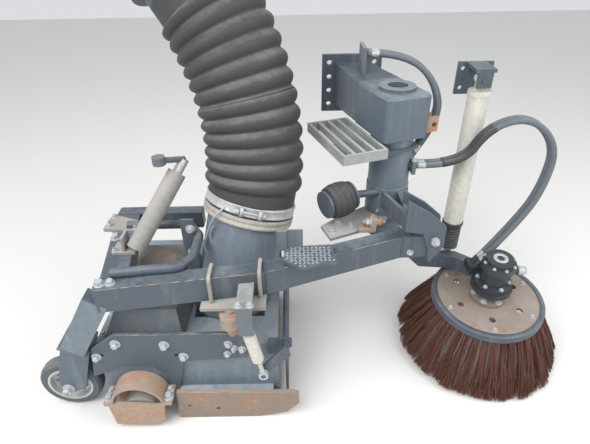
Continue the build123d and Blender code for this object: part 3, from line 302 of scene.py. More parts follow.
def merged(name: str, objects: Sequence[bpy.types.Object]) -> bpy.types.Object:
    """Joins several mesh objects into one piece.

    Args:
        name: name of the joined piece.
        objects: pieces that share a finish and a body.

    Returns:
        The joined object.
    """
    verts, faces, smooth, start = [], [], [], 0
    for obj in objects:
        mesh = obj.data
        points = np.empty(len(mesh.vertices) * 3)
        mesh.vertices.foreach_get("co", points)
        verts.append(points.reshape(-1, 3))
        faces += [[start + v for v in p.vertices] for p in mesh.polygons]
        smooth += [p.use_smooth for p in mesh.polygons]
        start += len(mesh.vertices)
        bpy.data.objects.remove(obj)
    joined = mesh_object(name, np.concatenate(verts) / MM + FLANGE, faces)
    joined.data.polygons.foreach_set("use_smooth", smooth)
    return joined


def bolt(
    centre: Sequence[float], axis: Sequence[float], across: float, tall: float = 0.0
) -> bpy.types.Object:
    """Hexagon head on a round washer, standing on centre and pointing along axis.

    Args:
        centre: station on the plate's face.
        axis: outward direction.
        across: width across the flats in millimetres.
        tall: head height, or 0 for the usual 0.65 of the width.

    Returns:
        One mesh with the washer, the head and its rounded top.
    """
    height = tall or 0.65 * across
    r = across / math.sqrt(3)
    rim, base = across * 0.85, across * 0.12
    washer = lathe("washer", [(rim, -0.4), (rim, base * 0.7), (rim - 1, base), (0.2, base)], centre, axis, 20)
    profile = [(r, across * 0.1), (r, base + height * 0.85), (r * 0.84, base + height), (0.2, base + height)]
    head = lathe("head", profile, centre, axis, 6)
    for piece in (washer, head):
        piece.data.polygons.foreach_set("use_smooth", [False] * len(piece.data.polygons))
    return merged("bolt", [washer, head])


def nut_on_stud(
    centre: Sequence[float], axis: Sequence[float], across: float, stud: float
) -> bpy.types.Object:
    """Hexagon nut on a washer with the threaded end of its stud standing out of it.

    Args:
        centre: station on the plate's face.
        axis: outward direction.
        across: width across the flats in millimetres.
        stud: how far the stud stands out of the nut's middle, in millimetres.

    Returns:
        One mesh with the washer, the nut and the stud.
    """
    r = across / math.sqrt(3)
    profile = [(r, 0.0), (r, 0.7 * across), (r * 0.86, 0.8 * across), (0.2, 0.8 * across)]
    nut = lathe("nut", profile, centre, axis, 6)
    threads = 9
    turns = np.linspace(0, 1, 4 * threads + 1)
    radius = 0.27 * across + 0.05 * across * np.abs((turns * threads * 2) % 2 - 1)
    thread = np.stack([radius, 0.7 * across + stud * turns], axis=1)
    nut.data.polygons.foreach_set("use_smooth", [False] * len(nut.data.polygons))
    stud_end = lathe("stud", thread, centre, axis, 16)
    washer = bolt(centre, axis, across * 0.9, 1.0)
    return merged("nut", [nut, stud_end, washer])


def block(name: str, low: Sequence[float], high: Sequence[float], bevel: float = 1.5) -> bpy.types.Object:
    """Box between two stations, each corner cut by a small bevel.

    The eight corners move in by the bevel along two axes at a time, which gives three points per
    corner; a hull over the 24 points closes the box.

    Args:
        name: the piece's name.
        low: lowest station.
        high: highest station.
        bevel: size of the cut in millimetres.

    Returns:
        The box as one closed mesh.
    """
    low, high = np.asarray(low, dtype=float), np.asarray(high, dtype=float)
    points = []
    for corner in np.ndindex(2, 2, 2):
        place = np.where(np.array(corner) == 1, high, low)
        inward = np.where(np.array(corner) == 1, -bevel, bevel)
        for keep in range(3):
            shift = inward.copy()
            shift[keep] = 0.0
            points.append(place + shift)
    return hull(name, np.array(points))


def hull(name: str, points: Array) -> bpy.types.Object:
    """Convex hull of stations.

    Args:
        name: the piece's name.
        points: n by 3 stations.

    Returns:
        The hull as one closed flat-shaded mesh.
    """
    work = bmesh.new()
    for point in row(points):
        work.verts.new(point)
    found = bmesh.ops.convex_hull(work, input=work.verts)
    spare = [v for v in found["geom_interior"] if isinstance(v, bmesh.types.BMVert)]
    bmesh.ops.delete(work, geom=spare, context="VERTS")
    mesh = bpy.data.meshes.new(name)
    work.to_mesh(mesh)
    work.free()
    obj = bpy.data.objects.new(name, mesh)
    bpy.context.scene.collection.objects.link(obj)
    return obj


def bead(name: str, points: Sequence, radius: float = 3.2) -> bpy.types.Object:
    """Weld bead: a tube whose radius ripples by about a fifth along the run.

    Args:
        name: the piece's name.
        points: corner stations of the run.
        radius: mean radius in millimetres.

    Returns:
        The bead as one closed mesh.
    """
    corners = np.asarray(points, dtype=float)
    lengths = np.concatenate([[0.0], np.cumsum(np.linalg.norm(np.diff(corners, axis=0), axis=1))])
    s = np.linspace(0, lengths[-1], max(8, int(lengths[-1] / 1.6)))
    path = np.stack([np.interp(s, lengths, corners[:, k]) for k in range(3)], axis=1)
    ripple = 1 + 0.16 * np.sin(s * 2 * np.pi / 5.2) + 0.07 * np.sin(s * 0.31)
    ends = np.clip(np.minimum(s, lengths[-1] - s) / 3.0, 0.35, 1.0)
    return tube(name, path, radius * ripple * ends, 10, hint=(0.31, 0.83, 0.46))


class Nodes:
    """Thin wrapper over one node tree."""

    def __init__(self, tree: bpy.types.NodeTree) -> None:
        """Keeps the tree."""
        self.tree = tree

    def add(self, kind: str, settings: dict | None = None, **inputs: object) -> bpy.types.Node:
        """Adds a node, sets its properties and its inputs.

        Args:
            kind: node type name.
            settings: properties of the node.
            **inputs: socket names with underscores for spaces; a socket is linked and a value is set.

        Returns:
            The node.
        """
        node = self.tree.nodes.new(kind)
        for key, value in (settings or {}).items():
            setattr(node, key, value)
        for key, value in inputs.items():
            name = key.replace("_", " ")
            socket = node.inputs[int(key[1:])] if key[0] == "i" and key[1:].isdigit() else node.inputs[name]
            if isinstance(value, bpy.types.NodeSocket):
                self.tree.links.new(value, socket)
            else:
                socket.default_value = value
        return node

    def math(self, operation: str, a: object, b: object = 0.0, clamp: bool = False) -> bpy.types.NodeSocket:
        """Result of a Math node on two sockets or numbers."""
        return self.add("ShaderNodeMath", {"operation": operation, "use_clamp": clamp}, i0=a, i1=b).outputs[0]

    def noise(
        self, vector: object, scale: float, detail: float = 4.0, rough: float = 0.6
    ) -> bpy.types.NodeSocket:
        """Factor of a Noise Texture on that vector."""
        settings = {"Vector": vector, "Scale": scale, "Detail": detail, "Roughness": rough}
        return self.add("ShaderNodeTexNoise", None, **settings).outputs[0]

    def step(self, value: object, low: float, high: float) -> bpy.types.NodeSocket:
        """Smooth step of value from low to high."""
        smooth = {"interpolation_type": "SMOOTHSTEP"}
        return self.add("ShaderNodeMapRange", smooth, Value=value, i1=low, i2=high).outputs[0]

    def mix(self, factor: object, a: object, b: object) -> bpy.types.NodeSocket:
        """Colour a where factor is 0 and b where it is 1.

        Args:
            factor: share of b, a socket or a number.
            a: first colour, a socket or a value.
            b: second colour, a socket or a value.

        Returns:
            The mixed colour's socket.
        """
        node = self.add("ShaderNodeMix", {"data_type": "RGBA"})
        for socket, value in ((node.inputs[0], factor), (node.inputs[6], a), (node.inputs[7], b)):
            if isinstance(value, bpy.types.NodeSocket):
                self.tree.links.new(value, socket)
            else:
                socket.default_value = value
        return node.outputs[2]


def rgba(colour: Colour) -> tuple[float, float, float, float]:
    """Colour with full alpha."""
    return (*colour, 1.0)


def new_group(name: str, inputs: Sequence[tuple], outputs: Sequence[tuple]) -> tuple[Nodes, dict, dict]:
    """Empty shader node group with named sockets.

    Args:
        name: the group's name.
        inputs: name, socket type and default value of each input.
        outputs: name and socket type of each output.

    Returns:
        The group's nodes, its input sockets and its output sockets by name.
    """
    tree = bpy.data.node_groups.new(name, "ShaderNodeTree")
    for label, kind, default in inputs:
        tree.interface.new_socket(label, in_out="INPUT", socket_type=kind).default_value = default
    for label, kind in outputs:
        tree.interface.new_socket(label, in_out="OUTPUT", socket_type=kind)
    nodes = Nodes(tree)
    source, sink = tree.nodes.new("NodeGroupInput"), tree.nodes.new("NodeGroupOutput")
    return nodes, {s.name: s for s in source.outputs}, {s.name: s for s in sink.inputs}


def link(nodes: Nodes, source: bpy.types.NodeSocket, target: bpy.types.NodeSocket) -> None:
    """Joins two sockets."""
    nodes.tree.links.new(source, target)


def weather_group() -> bpy.types.NodeTree:
    """Group that lays dust, rust and stains over a base colour.

    Dust gathers on faces that look up and in large soft patches, rust breaks through in small
    islands, and dark drips run down the sides.

    Returns:
        The node group, with outputs Colour, Roughness and Height.
    """
    colour, number = "NodeSocketColor", "NodeSocketFloat"
    nodes, inp, out = new_group(
        "weathering",
        [
            ("Base", colour, (0.2, 0.2, 0.2, 1)),
            ("Dust", colour, (0.5, 0.47, 0.42, 1)),
            ("Rust", colour, (0.25, 0.1, 0.05, 1)),
            ("Dust amount", number, 0.3),
            ("Rust amount", number, 0.1),
            ("Roughness", number, 0.5),
            ("Seed", number, 0.0),
            ("Drips", number, 0.45),
        ],
        [("Colour", colour), ("Roughness", number), ("Height", number)],
    )
    place = nodes.add("ShaderNodeTexCoord")
    shift = nodes.add("ShaderNodeCombineXYZ", None, X=inp["Seed"], Y=inp["Seed"], Z=0.0).outputs[0]
    moved = nodes.add("ShaderNodeVectorMath", {"operation": "ADD"}, i0=place.outputs["Object"], i1=shift)
    where = moved.outputs[0]
    normal = nodes.add("ShaderNodeSeparateXYZ", None, Vector=place.outputs["Normal"]).outputs[2]
    clouds = nodes.noise(where, 5.0, 6.0, 0.65)
    blotch = nodes.noise(where, 15.0, 5.0, 0.62)
    fine = nodes.noise(where, 60.0, 4.0, 0.7)
    speckle = nodes.noise(where, 260.0, 2.0, 0.5)
    tall = (26.0, 26.0, 2.4)
    stretched = nodes.add("ShaderNodeVectorMath", {"operation": "MULTIPLY"}, i0=where, i1=tall)
    drips = nodes.noise(stretched.outputs[0], 1.0, 3.0, 0.6)
    up = nodes.step(normal, 0.1, 0.95)
    lean = nodes.math("ADD", nodes.math("MULTIPLY", up, 0.35), nodes.math("MULTIPLY", clouds, 0.75))
    lean = nodes.math("ADD", lean, nodes.math("MULTIPLY", fine, 0.35))
    edge = nodes.math("SUBTRACT", 1.2, inp["Dust amount"])
    dust = nodes.math("MULTIPLY", nodes.math("SUBTRACT", lean, edge), 2.6, clamp=True)
    grit = nodes.math("MULTIPLY", inp["Dust amount"], nodes.math("MULTIPLY", speckle, 0.35))
    dust = nodes.math("ADD", dust, grit, clamp=True)
    rust_field = nodes.math("ADD", nodes.math("MULTIPLY", clouds, 0.3), nodes.math("MULTIPLY", blotch, 0.6))
    rust_field = nodes.math("ADD", rust_field, nodes.math("MULTIPLY", fine, 0.2))
    rust_edge = nodes.math("SUBTRACT", 0.95, nodes.math("MULTIPLY", inp["Rust amount"], 0.9))
    rust = nodes.math("MULTIPLY", nodes.math("SUBTRACT", rust_field, rust_edge), 9.0, clamp=True)
    drip = nodes.math("MULTIPLY", nodes.step(drips, 0.52, 0.72), nodes.math("SUBTRACT", 1.0, up))
    drip = nodes.math("MULTIPLY", drip, inp["Drips"])
    stained = nodes.mix(drip, inp["Base"], nodes.mix(0.5, inp["Base"], inp["Dust"]))
    soot = nodes.math("MULTIPLY", nodes.step(fine, 0.35, 0.75), 0.25)
    shade = nodes.mix(soot, stained, (0.03, 0.032, 0.035, 1))
    dusty = nodes.mix(dust, shade, inp["Dust"])
    pale_rust = nodes.mix(0.55, inp["Rust"], inp["Dust"])
    deep_rust = nodes.mix(0.35, inp["Rust"], (0.07, 0.035, 0.02, 1))
    rust_tone = nodes.mix(nodes.step(fine, 0.3, 0.7), deep_rust, pale_rust)
    link(nodes, nodes.mix(rust, dusty, rust_tone), out["Colour"])
    rough = nodes.math("ADD", inp["Roughness"], nodes.math("MULTIPLY", dust, 0.35))
    rough = nodes.math("ADD", rough, nodes.math("MULTIPLY", rust, 0.3), clamp=True)
    link(nodes, rough, out["Roughness"])
    height = nodes.math("ADD", nodes.math("MULTIPLY", fine, 0.5), nodes.math("MULTIPLY", rust, 0.8))
    link(nodes, nodes.math("ADD", height, nodes.math("MULTIPLY", speckle, 0.3)), out["Height"])
    return nodes.tree


@dataclass(frozen=True)
class Weathered:
    """A finish of one base colour under dust and rust."""

    name: str
    base: Colour
    dust: Colour = (0.40, 0.375, 0.335)
    rust: Colour = (0.26, 0.105, 0.045)
    dust_amount: float = 0.3
    rust_amount: float = 0.1
    roughness: float = 0.5
    metallic: float = 0.0
    bump: float = 0.25
    seed: float = 0.0
    drips: float = 0.45

    def build(self, group: bpy.types.NodeTree) -> bpy.types.Material:
        """Makes the material around the weathering group.

        Args:
            group: the weathering node group.

        Returns:
            The material, with the Principled shader in it.
        """
        material = bpy.data.materials.new(self.name)
        material.use_nodes = True
        nodes = Nodes(material.node_tree)
        shader = material.node_tree.nodes["Principled BSDF"]
        weather = nodes.add("ShaderNodeGroup", {"node_tree": group})
        weather.inputs["Base"].default_value = rgba(self.base)
        weather.inputs["Dust"].default_value = rgba(self.dust)
        weather.inputs["Rust"].default_value = rgba(self.rust)
        weather.inputs["Dust amount"].default_value = self.dust_amount
        weather.inputs["Rust amount"].default_value = self.rust_amount
        weather.inputs["Roughness"].default_value = self.roughness
        weather.inputs["Seed"].default_value = self.seed
        weather.inputs["Drips"].default_value = self.drips
        link(nodes, weather.outputs["Colour"], shader.inputs["Base Color"])
        link(nodes, weather.outputs["Roughness"], shader.inputs["Roughness"])
        relief = weather.outputs["Height"]
        bump = nodes.add("ShaderNodeBump", None, Height=relief, Strength=self.bump, Distance=RELIEF)
        link(nodes, bump.outputs[0], shader.inputs["Normal"])
        shader.inputs["Metallic"].default_value = self.metallic
        return material


class Finish(Enum):
    """The finishes of the unit's pieces."""

    PAINT = Weathered(
        "grey_paint", (0.058, 0.077, 0.099), dust=(0.25, 0.275, 0.30), dust_amount=0.37,
        rust_amount=0.07, roughness=0.42, seed=1.0,
    )
    DUSTY_PAINT = Weathered(
        "dusty_grey_paint", (0.11, 0.135, 0.155), dust=(0.31, 0.315, 0.31), dust_amount=0.5,
        rust_amount=0.12, roughness=0.55, seed=2.3,
    )
    # Pale grey paint of the duct, the nozzle and the leg. The column tube and the swing sleeve wear it too as
    # painted light: a lighter copy of the grey paint that lifts the shade the pivot head casts on them.
    PALE_PAINT_AND_PAINTED_LIGHT = Weathered(
        "pale_grey_paint_and_painted_light", (0.13, 0.165, 0.20), dust=(0.34, 0.38, 0.41), dust_amount=0.5,
        rust_amount=0.04, roughness=0.5, seed=2.9,
    )
    CAST_PAINT = Weathered(
        "cast_grey_paint", (0.085, 0.112, 0.142), dust=(0.27, 0.30, 0.325), dust_amount=0.42,
        rust_amount=0.06, roughness=0.5, bump=0.5, seed=3.1,
    )
    RUSTY = Weathered(
        "rusty_steel", (0.36, 0.26, 0.195), rust=(0.44, 0.16, 0.05), dust_amount=0.4,
        rust_amount=0.49, roughness=0.7, bump=0.55, seed=4.4,
    )
    DISC = Weathered(
        "disc_steel", (0.20, 0.155, 0.125), dust=(0.33, 0.285, 0.25), rust=(0.25, 0.115, 0.06),
        dust_amount=0.5, rust_amount=0.42, roughness=0.6, bump=0.4, seed=4.9, drips=0.0,
    )
    SKID = Weathered(
        "skid_steel", (0.25, 0.185, 0.14), dust=(0.38, 0.325, 0.27), rust=(0.40, 0.14, 0.045),
        dust_amount=0.42, rust_amount=0.41, roughness=0.6, bump=0.4, seed=5.6,
    )
    WORN = Weathered(
        "worn_steel", (0.27, 0.26, 0.245), rust=(0.30, 0.13, 0.055), dust_amount=0.5,
        rust_amount=0.3, roughness=0.6, seed=5.2,
    )
    COVER = Weathered(
        "dusty_cover", (0.15, 0.135, 0.12), dust=(0.33, 0.29, 0.25), rust=(0.24, 0.12, 0.07),
        dust_amount=0.55, rust_amount=0.38, roughness=0.7, seed=5.4,
    )
    HOOD = Weathered(
        "hood_paint", (0.12, 0.145, 0.165), dust=(0.31, 0.31, 0.30), rust=(0.25, 0.13, 0.075),
        dust_amount=0.48, rust_amount=0.36, roughness=0.6, seed=14.3,
    )
    STEP_CAST = Weathered(
        "step_casting", (0.28, 0.295, 0.30), dust=(0.41, 0.41, 0.395), dust_amount=0.5,
        rust_amount=0.03, roughness=0.45, seed=5.9,
    )
    ZINC = Weathered(
        "zinc_plate", (0.55, 0.56, 0.55), dust_amount=0.25, rust_amount=0.08, roughness=0.38,
        metallic=0.35, seed=6.6,
    )
    BOLT = Weathered(
        "bolt_zinc", (0.46, 0.49, 0.51), dust=(0.42, 0.41, 0.39), dust_amount=0.3, rust_amount=0.12,
        roughness=0.45, metallic=0.2, bump=0.15, seed=6.1,
    )
    CREAM = Weathered(
        "cream_paint", (0.60, 0.585, 0.52), dust=(0.40, 0.37, 0.31), dust_amount=0.25,
        rust_amount=0.08, roughness=0.4, seed=7.9,
    )
    SEAL = Weathered(
        "cream_seal", (0.41, 0.39, 0.335), dust=(0.29, 0.275, 0.24), dust_amount=0.4,
        rust_amount=0.0, roughness=0.6, seed=7.2, drips=0.2,
    )
    DARK_CAST = Weathered(
        "dark_cast", (0.028, 0.034, 0.039), dust=(0.105, 0.115, 0.12), dust_amount=0.32,
        rust_amount=0.02, roughness=0.45, seed=8.8,
    )
    HOSE = Weathered(
        "suction_rubber", (0.030, 0.031, 0.033), dust=(0.155, 0.155, 0.155), dust_amount=0.5,
        rust_amount=0.0, roughness=0.6, seed=9.4, drips=0.0,
    )
    GREY_HOSE = Weathered(
        "hydraulic_rubber", (0.10, 0.122, 0.14), dust=(0.24, 0.245, 0.245), dust_amount=0.42,
        rust_amount=0.0, roughness=0.6, seed=10.5, drips=0.0,
    )
    TYRE = Weathered(
        "wheel_rubber", (0.085, 0.10, 0.118), dust=(0.22, 0.215, 0.205), dust_amount=0.42,
        rust_amount=0.0, roughness=0.7, seed=11.2, drips=0.0,
    )
    ROLLER = Weathered(
        "roller_polymer", (0.26, 0.25, 0.24), dust_amount=0.6, rust_amount=0.05, roughness=0.7,
        seed=12.2, drips=0.0,
    )
    BRISTLE = Weathered(
        "brush_wire", (0.092, 0.029, 0.016), dust=(0.185, 0.085, 0.05), dust_amount=0.28,
        rust_amount=0.0, roughness=0.6, bump=0.1, seed=13.7, drips=0.0,
    )


class Wardrobe:
    """Builds each finish once and dresses pieces in it."""

    def __init__(self) -> None:
        """Builds the weathering group and every material."""
        group = weather_group()
        self.materials = {finish: finish.value.build(group) for finish in Finish}

    def dress(self, obj: bpy.types.Object, finish: Finish) -> bpy.types.Object:
        """Gives every face of a piece one finish.

        Args:
            obj: the piece.
            finish: its finish.

        Returns:
            The same piece.
        """
        obj.data.materials.clear()
        obj.data.materials.append(self.materials[finish])
        return obj

    def dress_node(self, node: str, finish: Finish) -> None:
        """Gives a CAD node's slots one finish.

        Args:
            node: the node's name.
            finish: its finish.
        """
        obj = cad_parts[node]
        for index in range(len(obj.material_slots)):
            obj.material_slots[index].material = self.materials[finish]


NODE_FINISHES: dict[Finish, tuple[str, ...]] = {
    Finish.PAINT: (
        "mount_flange", "main_beam", "step_bracket", "brush_clevis", "hopper_collar",
        "strut_bracket", "swing_bracket", "buffer_bracket", "front_arm", "arm_knuckle",
        "rear_member", "guard_loop", "side_plate", "flap_bearing", "brush_arm", "checker_step", "front_flap",
    ),
    Finish.CAST_PAINT: ("pivot_head", "wheel_fork"),
    # The column tube and the swing sleeve take this lighter paint as painted light, lifting the shade that
    # the pivot head casts on them.
    Finish.PALE_PAINT_AND_PAINTED_LIGHT: ("suction_duct", "nozzle_body", "arm_leg", "column_tube", "swing_sleeve"),
    Finish.DUSTY_PAINT: ("hose_manifold", "cylinder_bracket"),
    Finish.COVER: ("inspection_cover",),
    Finish.HOOD: ("nozzle_hood",),
    Finish.STEP_CAST: ("step_grating", "base_plate"),
    Finish.RUSTY: ("swing_lug", "stop_bracket", "roller_housing"),
    Finish.DISC: ("brush_disc",),
    Finish.SKID: ("skid",),
    Finish.WORN: ("lift_pin", "corner_plate", "hanger_link", "crank_tube"),
    Finish.ZINC: ("clamp_band", "support_rim", "flap_rod", "strut_rod"),
    Finish.CREAM: ("flap_barrel", "strut_barrel"),
    Finish.SEAL: ("seal_ring",),
    Finish.DARK_CAST: ("brush_motor",),
    Finish.GREY_HOSE: ("crank_handle",),
    Finish.TYRE: ("support_tyre",),
    Finish.ROLLER: ("guide_roller",),
}


@dataclass
class SuctionHose:
    """Corrugated suction hose in two halves that meet at the middle."""

    wardrobe: Wardrobe
    clamp: Array = field(default_factory=lambda: np.array(CLAMP_CENTRE))
    collar: Array = field(default_factory=lambda: np.array(COLLAR_CENTRE))
    clamp_pull: Array = field(default_factory=lambda: np.array(CLAMP_PULL))
    collar_pull: Array = field(default_factory=lambda: np.array(COLLAR_PULL))
    root_r: float = 137.0
    crest_r: float = 151.5
    bore_r: float = 128.5
    pitch: float = 46.0
    cuff: float = 70.0
    sides: int = 96
    rings_per_pitch: int = 14
    samples: int = 1601
    ramp: float = 8.0
    crest_power: float = 0.42

    def line(self, count: int) -> Array:
        """Cubic curve b(t) = (1-t)^3 p0 + 3t(1-t)^2 p1 + 3t^2(1-t) p2 + t^3 p3.

        Args:
            count: number of even steps of t.

        Returns:
            count by 3 stations.
        """
        t = np.linspace(0, 1, count)[:, None]
        controls = [self.clamp, self.clamp + self.clamp_pull, self.collar + self.collar_pull, self.collar]
        weights = [(1 - t) ** 3, 3 * t * (1 - t) ** 2, 3 * t * t * (1 - t), t**3]
        return sum(w * c for w, c in zip(weights, controls))

    def half(self, name: str, low: float, high: float, cuff_low: bool, cuff_high: bool) -> bpy.types.Object:
        """One half of the hose.

        The outer radius is root + (crest - root) w(phase), where w is a power of half a cosine that
        stays broad on the crest and narrow in the root; the wall closes over the bore at both ends.

        Args:
            name: the piece's name.
            low: first share of the line's parameter.
            high: last share of the line's parameter.
            cuff_low: whether the first stretch is a smooth cuff.
            cuff_high: whether the last stretch is a smooth cuff.

        Returns:
            The half as one closed mesh.
        """
        dense = self.line(self.samples)
        steps = np.concatenate([[0.0], np.cumsum(np.linalg.norm(np.diff(dense, axis=0), axis=1))])
        total = steps[-1]
        share = np.linspace(0, 1, self.samples)
        s_low, s_high = np.interp([low, high], share, steps)
        count = int((s_high - s_low) / self.pitch * self.rings_per_pitch)
        s = np.linspace(s_low, s_high, count)
        path = np.stack([np.interp(s, steps, dense[:, k]) for k in range(3)], axis=1)
        phase = (s - self.cuff) / self.pitch
        wave = (0.5 - 0.5 * np.cos(2 * np.pi * phase)) ** self.crest_power
        ramp = np.ones_like(s)
        if cuff_low:
            ramp = np.clip((s - self.cuff) / self.ramp, 0, 1)
        if cuff_high:
            ramp = np.minimum(ramp, np.clip((total - self.cuff - s) / self.ramp, 0, 1))
        radius = self.root_r + (self.crest_r - self.root_r) * wave * ramp
        outer = tube_points(path, radius, self.sides)
        sparse = path[:: self.rings_per_pitch]
        inner = tube_points(sparse, np.full(len(sparse), self.bore_r), self.sides)
        shell = np.concatenate([inner[:1], outer, inner[::-1]])
        return mesh_object(name, shell.reshape(-1, 3), grid_faces(len(shell), self.sides, True))

    def build(self) -> None:
        """Builds both halves and hides the CAD halves."""
        lower = self.half("suction_hose_lower", 0.0, 0.5, True, False)
        upper = self.half("suction_hose_upper", 0.5, 1.0, False, True)
        for obj, node in ((lower, "hose_lower"), (upper, "hose_upper")):
            self.wardrobe.dress(obj, Finish.HOSE)
            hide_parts(node)
        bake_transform(lower)
        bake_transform(upper)


@dataclass
class PlateBrush:
    """Wire strands under the brush's disc, in local millimetres about the disc's centre."""

    wardrobe: Wardrobe
    centre: Array = field(default_factory=lambda: np.array(BRUSH_CENTRE))
    tilt: float = 6.0
    tufts: int = 40
    strands: int = 118
    root_r: float = 176.0
    tip_r: float = 286.0
    root_z: float = -13.0
    drop: float = 188.0
    steps: int = 5

    def place(self, points: Array) -> Array:
        """Turns local points about X by the tilt and moves them to the disc's centre.

        Args:
            points: n by 3 points about the disc's centre.

        Returns:
            n by 3 stations.
        """
        c, s = math.cos(math.radians(self.tilt)), math.sin(math.radians(self.tilt))
        turn = np.array([[1, 0, 0], [0, c, -s], [0, s, c]])
        return points @ turn.T + self.centre

    def bristles(self) -> bpy.types.Object:
        """Strands as three-sided tapered blades.

        A strand runs from (root radius + a) at the disc to (tip radius + b) at drop + c below it, bowed
        outwards by bow 4 s (1 - s), with a, b and c drawn for each strand about its tuft's angle.

        Returns:
            One mesh with every strand.
        """
        draw = np.random.default_rng(7)
        count = self.tufts * self.strands
        tuft = np.repeat(np.arange(self.tufts), self.strands)
        base_angle = tuft * 2 * np.pi / self.tufts
        root_angle = base_angle + draw.uniform(-1, 1, count) * 0.055
        spread = draw.normal(0, 1, count).clip(-2.2, 2.2) * 0.044
        lean = draw.normal(0, 0.02, self.tufts)[tuft]
        tip_angle = base_angle + spread + lean
        root_r = self.root_r + draw.uniform(-10, 9, count)
        worn = np.abs(draw.normal(0, 15, count)).clip(0, 46)
        ragged = draw.normal(0, 5, self.tufts).clip(-6, 4)[tuft]
        tip_r = self.tip_r - worn + ragged
        drop = self.drop - np.abs(draw.normal(0, 5, count)).clip(0, 14)
        s = np.linspace(0, 1, self.steps)[None, :]
        bow = draw.uniform(3, 12, count)[:, None] * 4 * s * (1 - s)
        r = root_r[:, None] + (tip_r - root_r)[:, None] * s**1.12 + bow
        angle = root_angle[:, None] + (tip_angle - root_angle)[:, None] * s
        z = self.root_z - drop[:, None] * s
        line = np.stack([r * np.cos(angle), r * np.sin(angle), z], axis=-1)
        width = (1.7 - 0.8 * s)[..., None]
        turn = draw.uniform(0, 2 * np.pi, count)[:, None, None]
        even = np.ones_like(z)[..., None]
        corners = []
        for corner in range(3):
            a = turn + corner * 2 * np.pi / 3
            side = np.concatenate([np.cos(a) * even, np.sin(a) * even, np.zeros_like(even)], axis=-1)
            corners.append(line + side * width)
        points = np.stack(corners, axis=2)
        blade = grid_faces(self.steps, 3, True)
        caps = np.array([[2, 1, 0], [0, 1, 2]])
        caps[1] += (self.steps - 1) * 3
        offset = (np.arange(count) * self.steps * 3)[:, None, None]
        quads = (blade[None] + offset).reshape(-1, 4).tolist()
        tris = (caps[None] + offset).reshape(-1, 3).tolist()
        return mesh_object("brush_strands", self.place(points.reshape(-1, 3)), quads + tris, smooth=False)

    def build(self) -> None:
        """Builds the strands on the spinning body."""
        strands = self.bristles()
        self.wardrobe.dress(strands, Finish.BRISTLE)
        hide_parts("brush_bristles")
        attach(strands, "plate_brush")


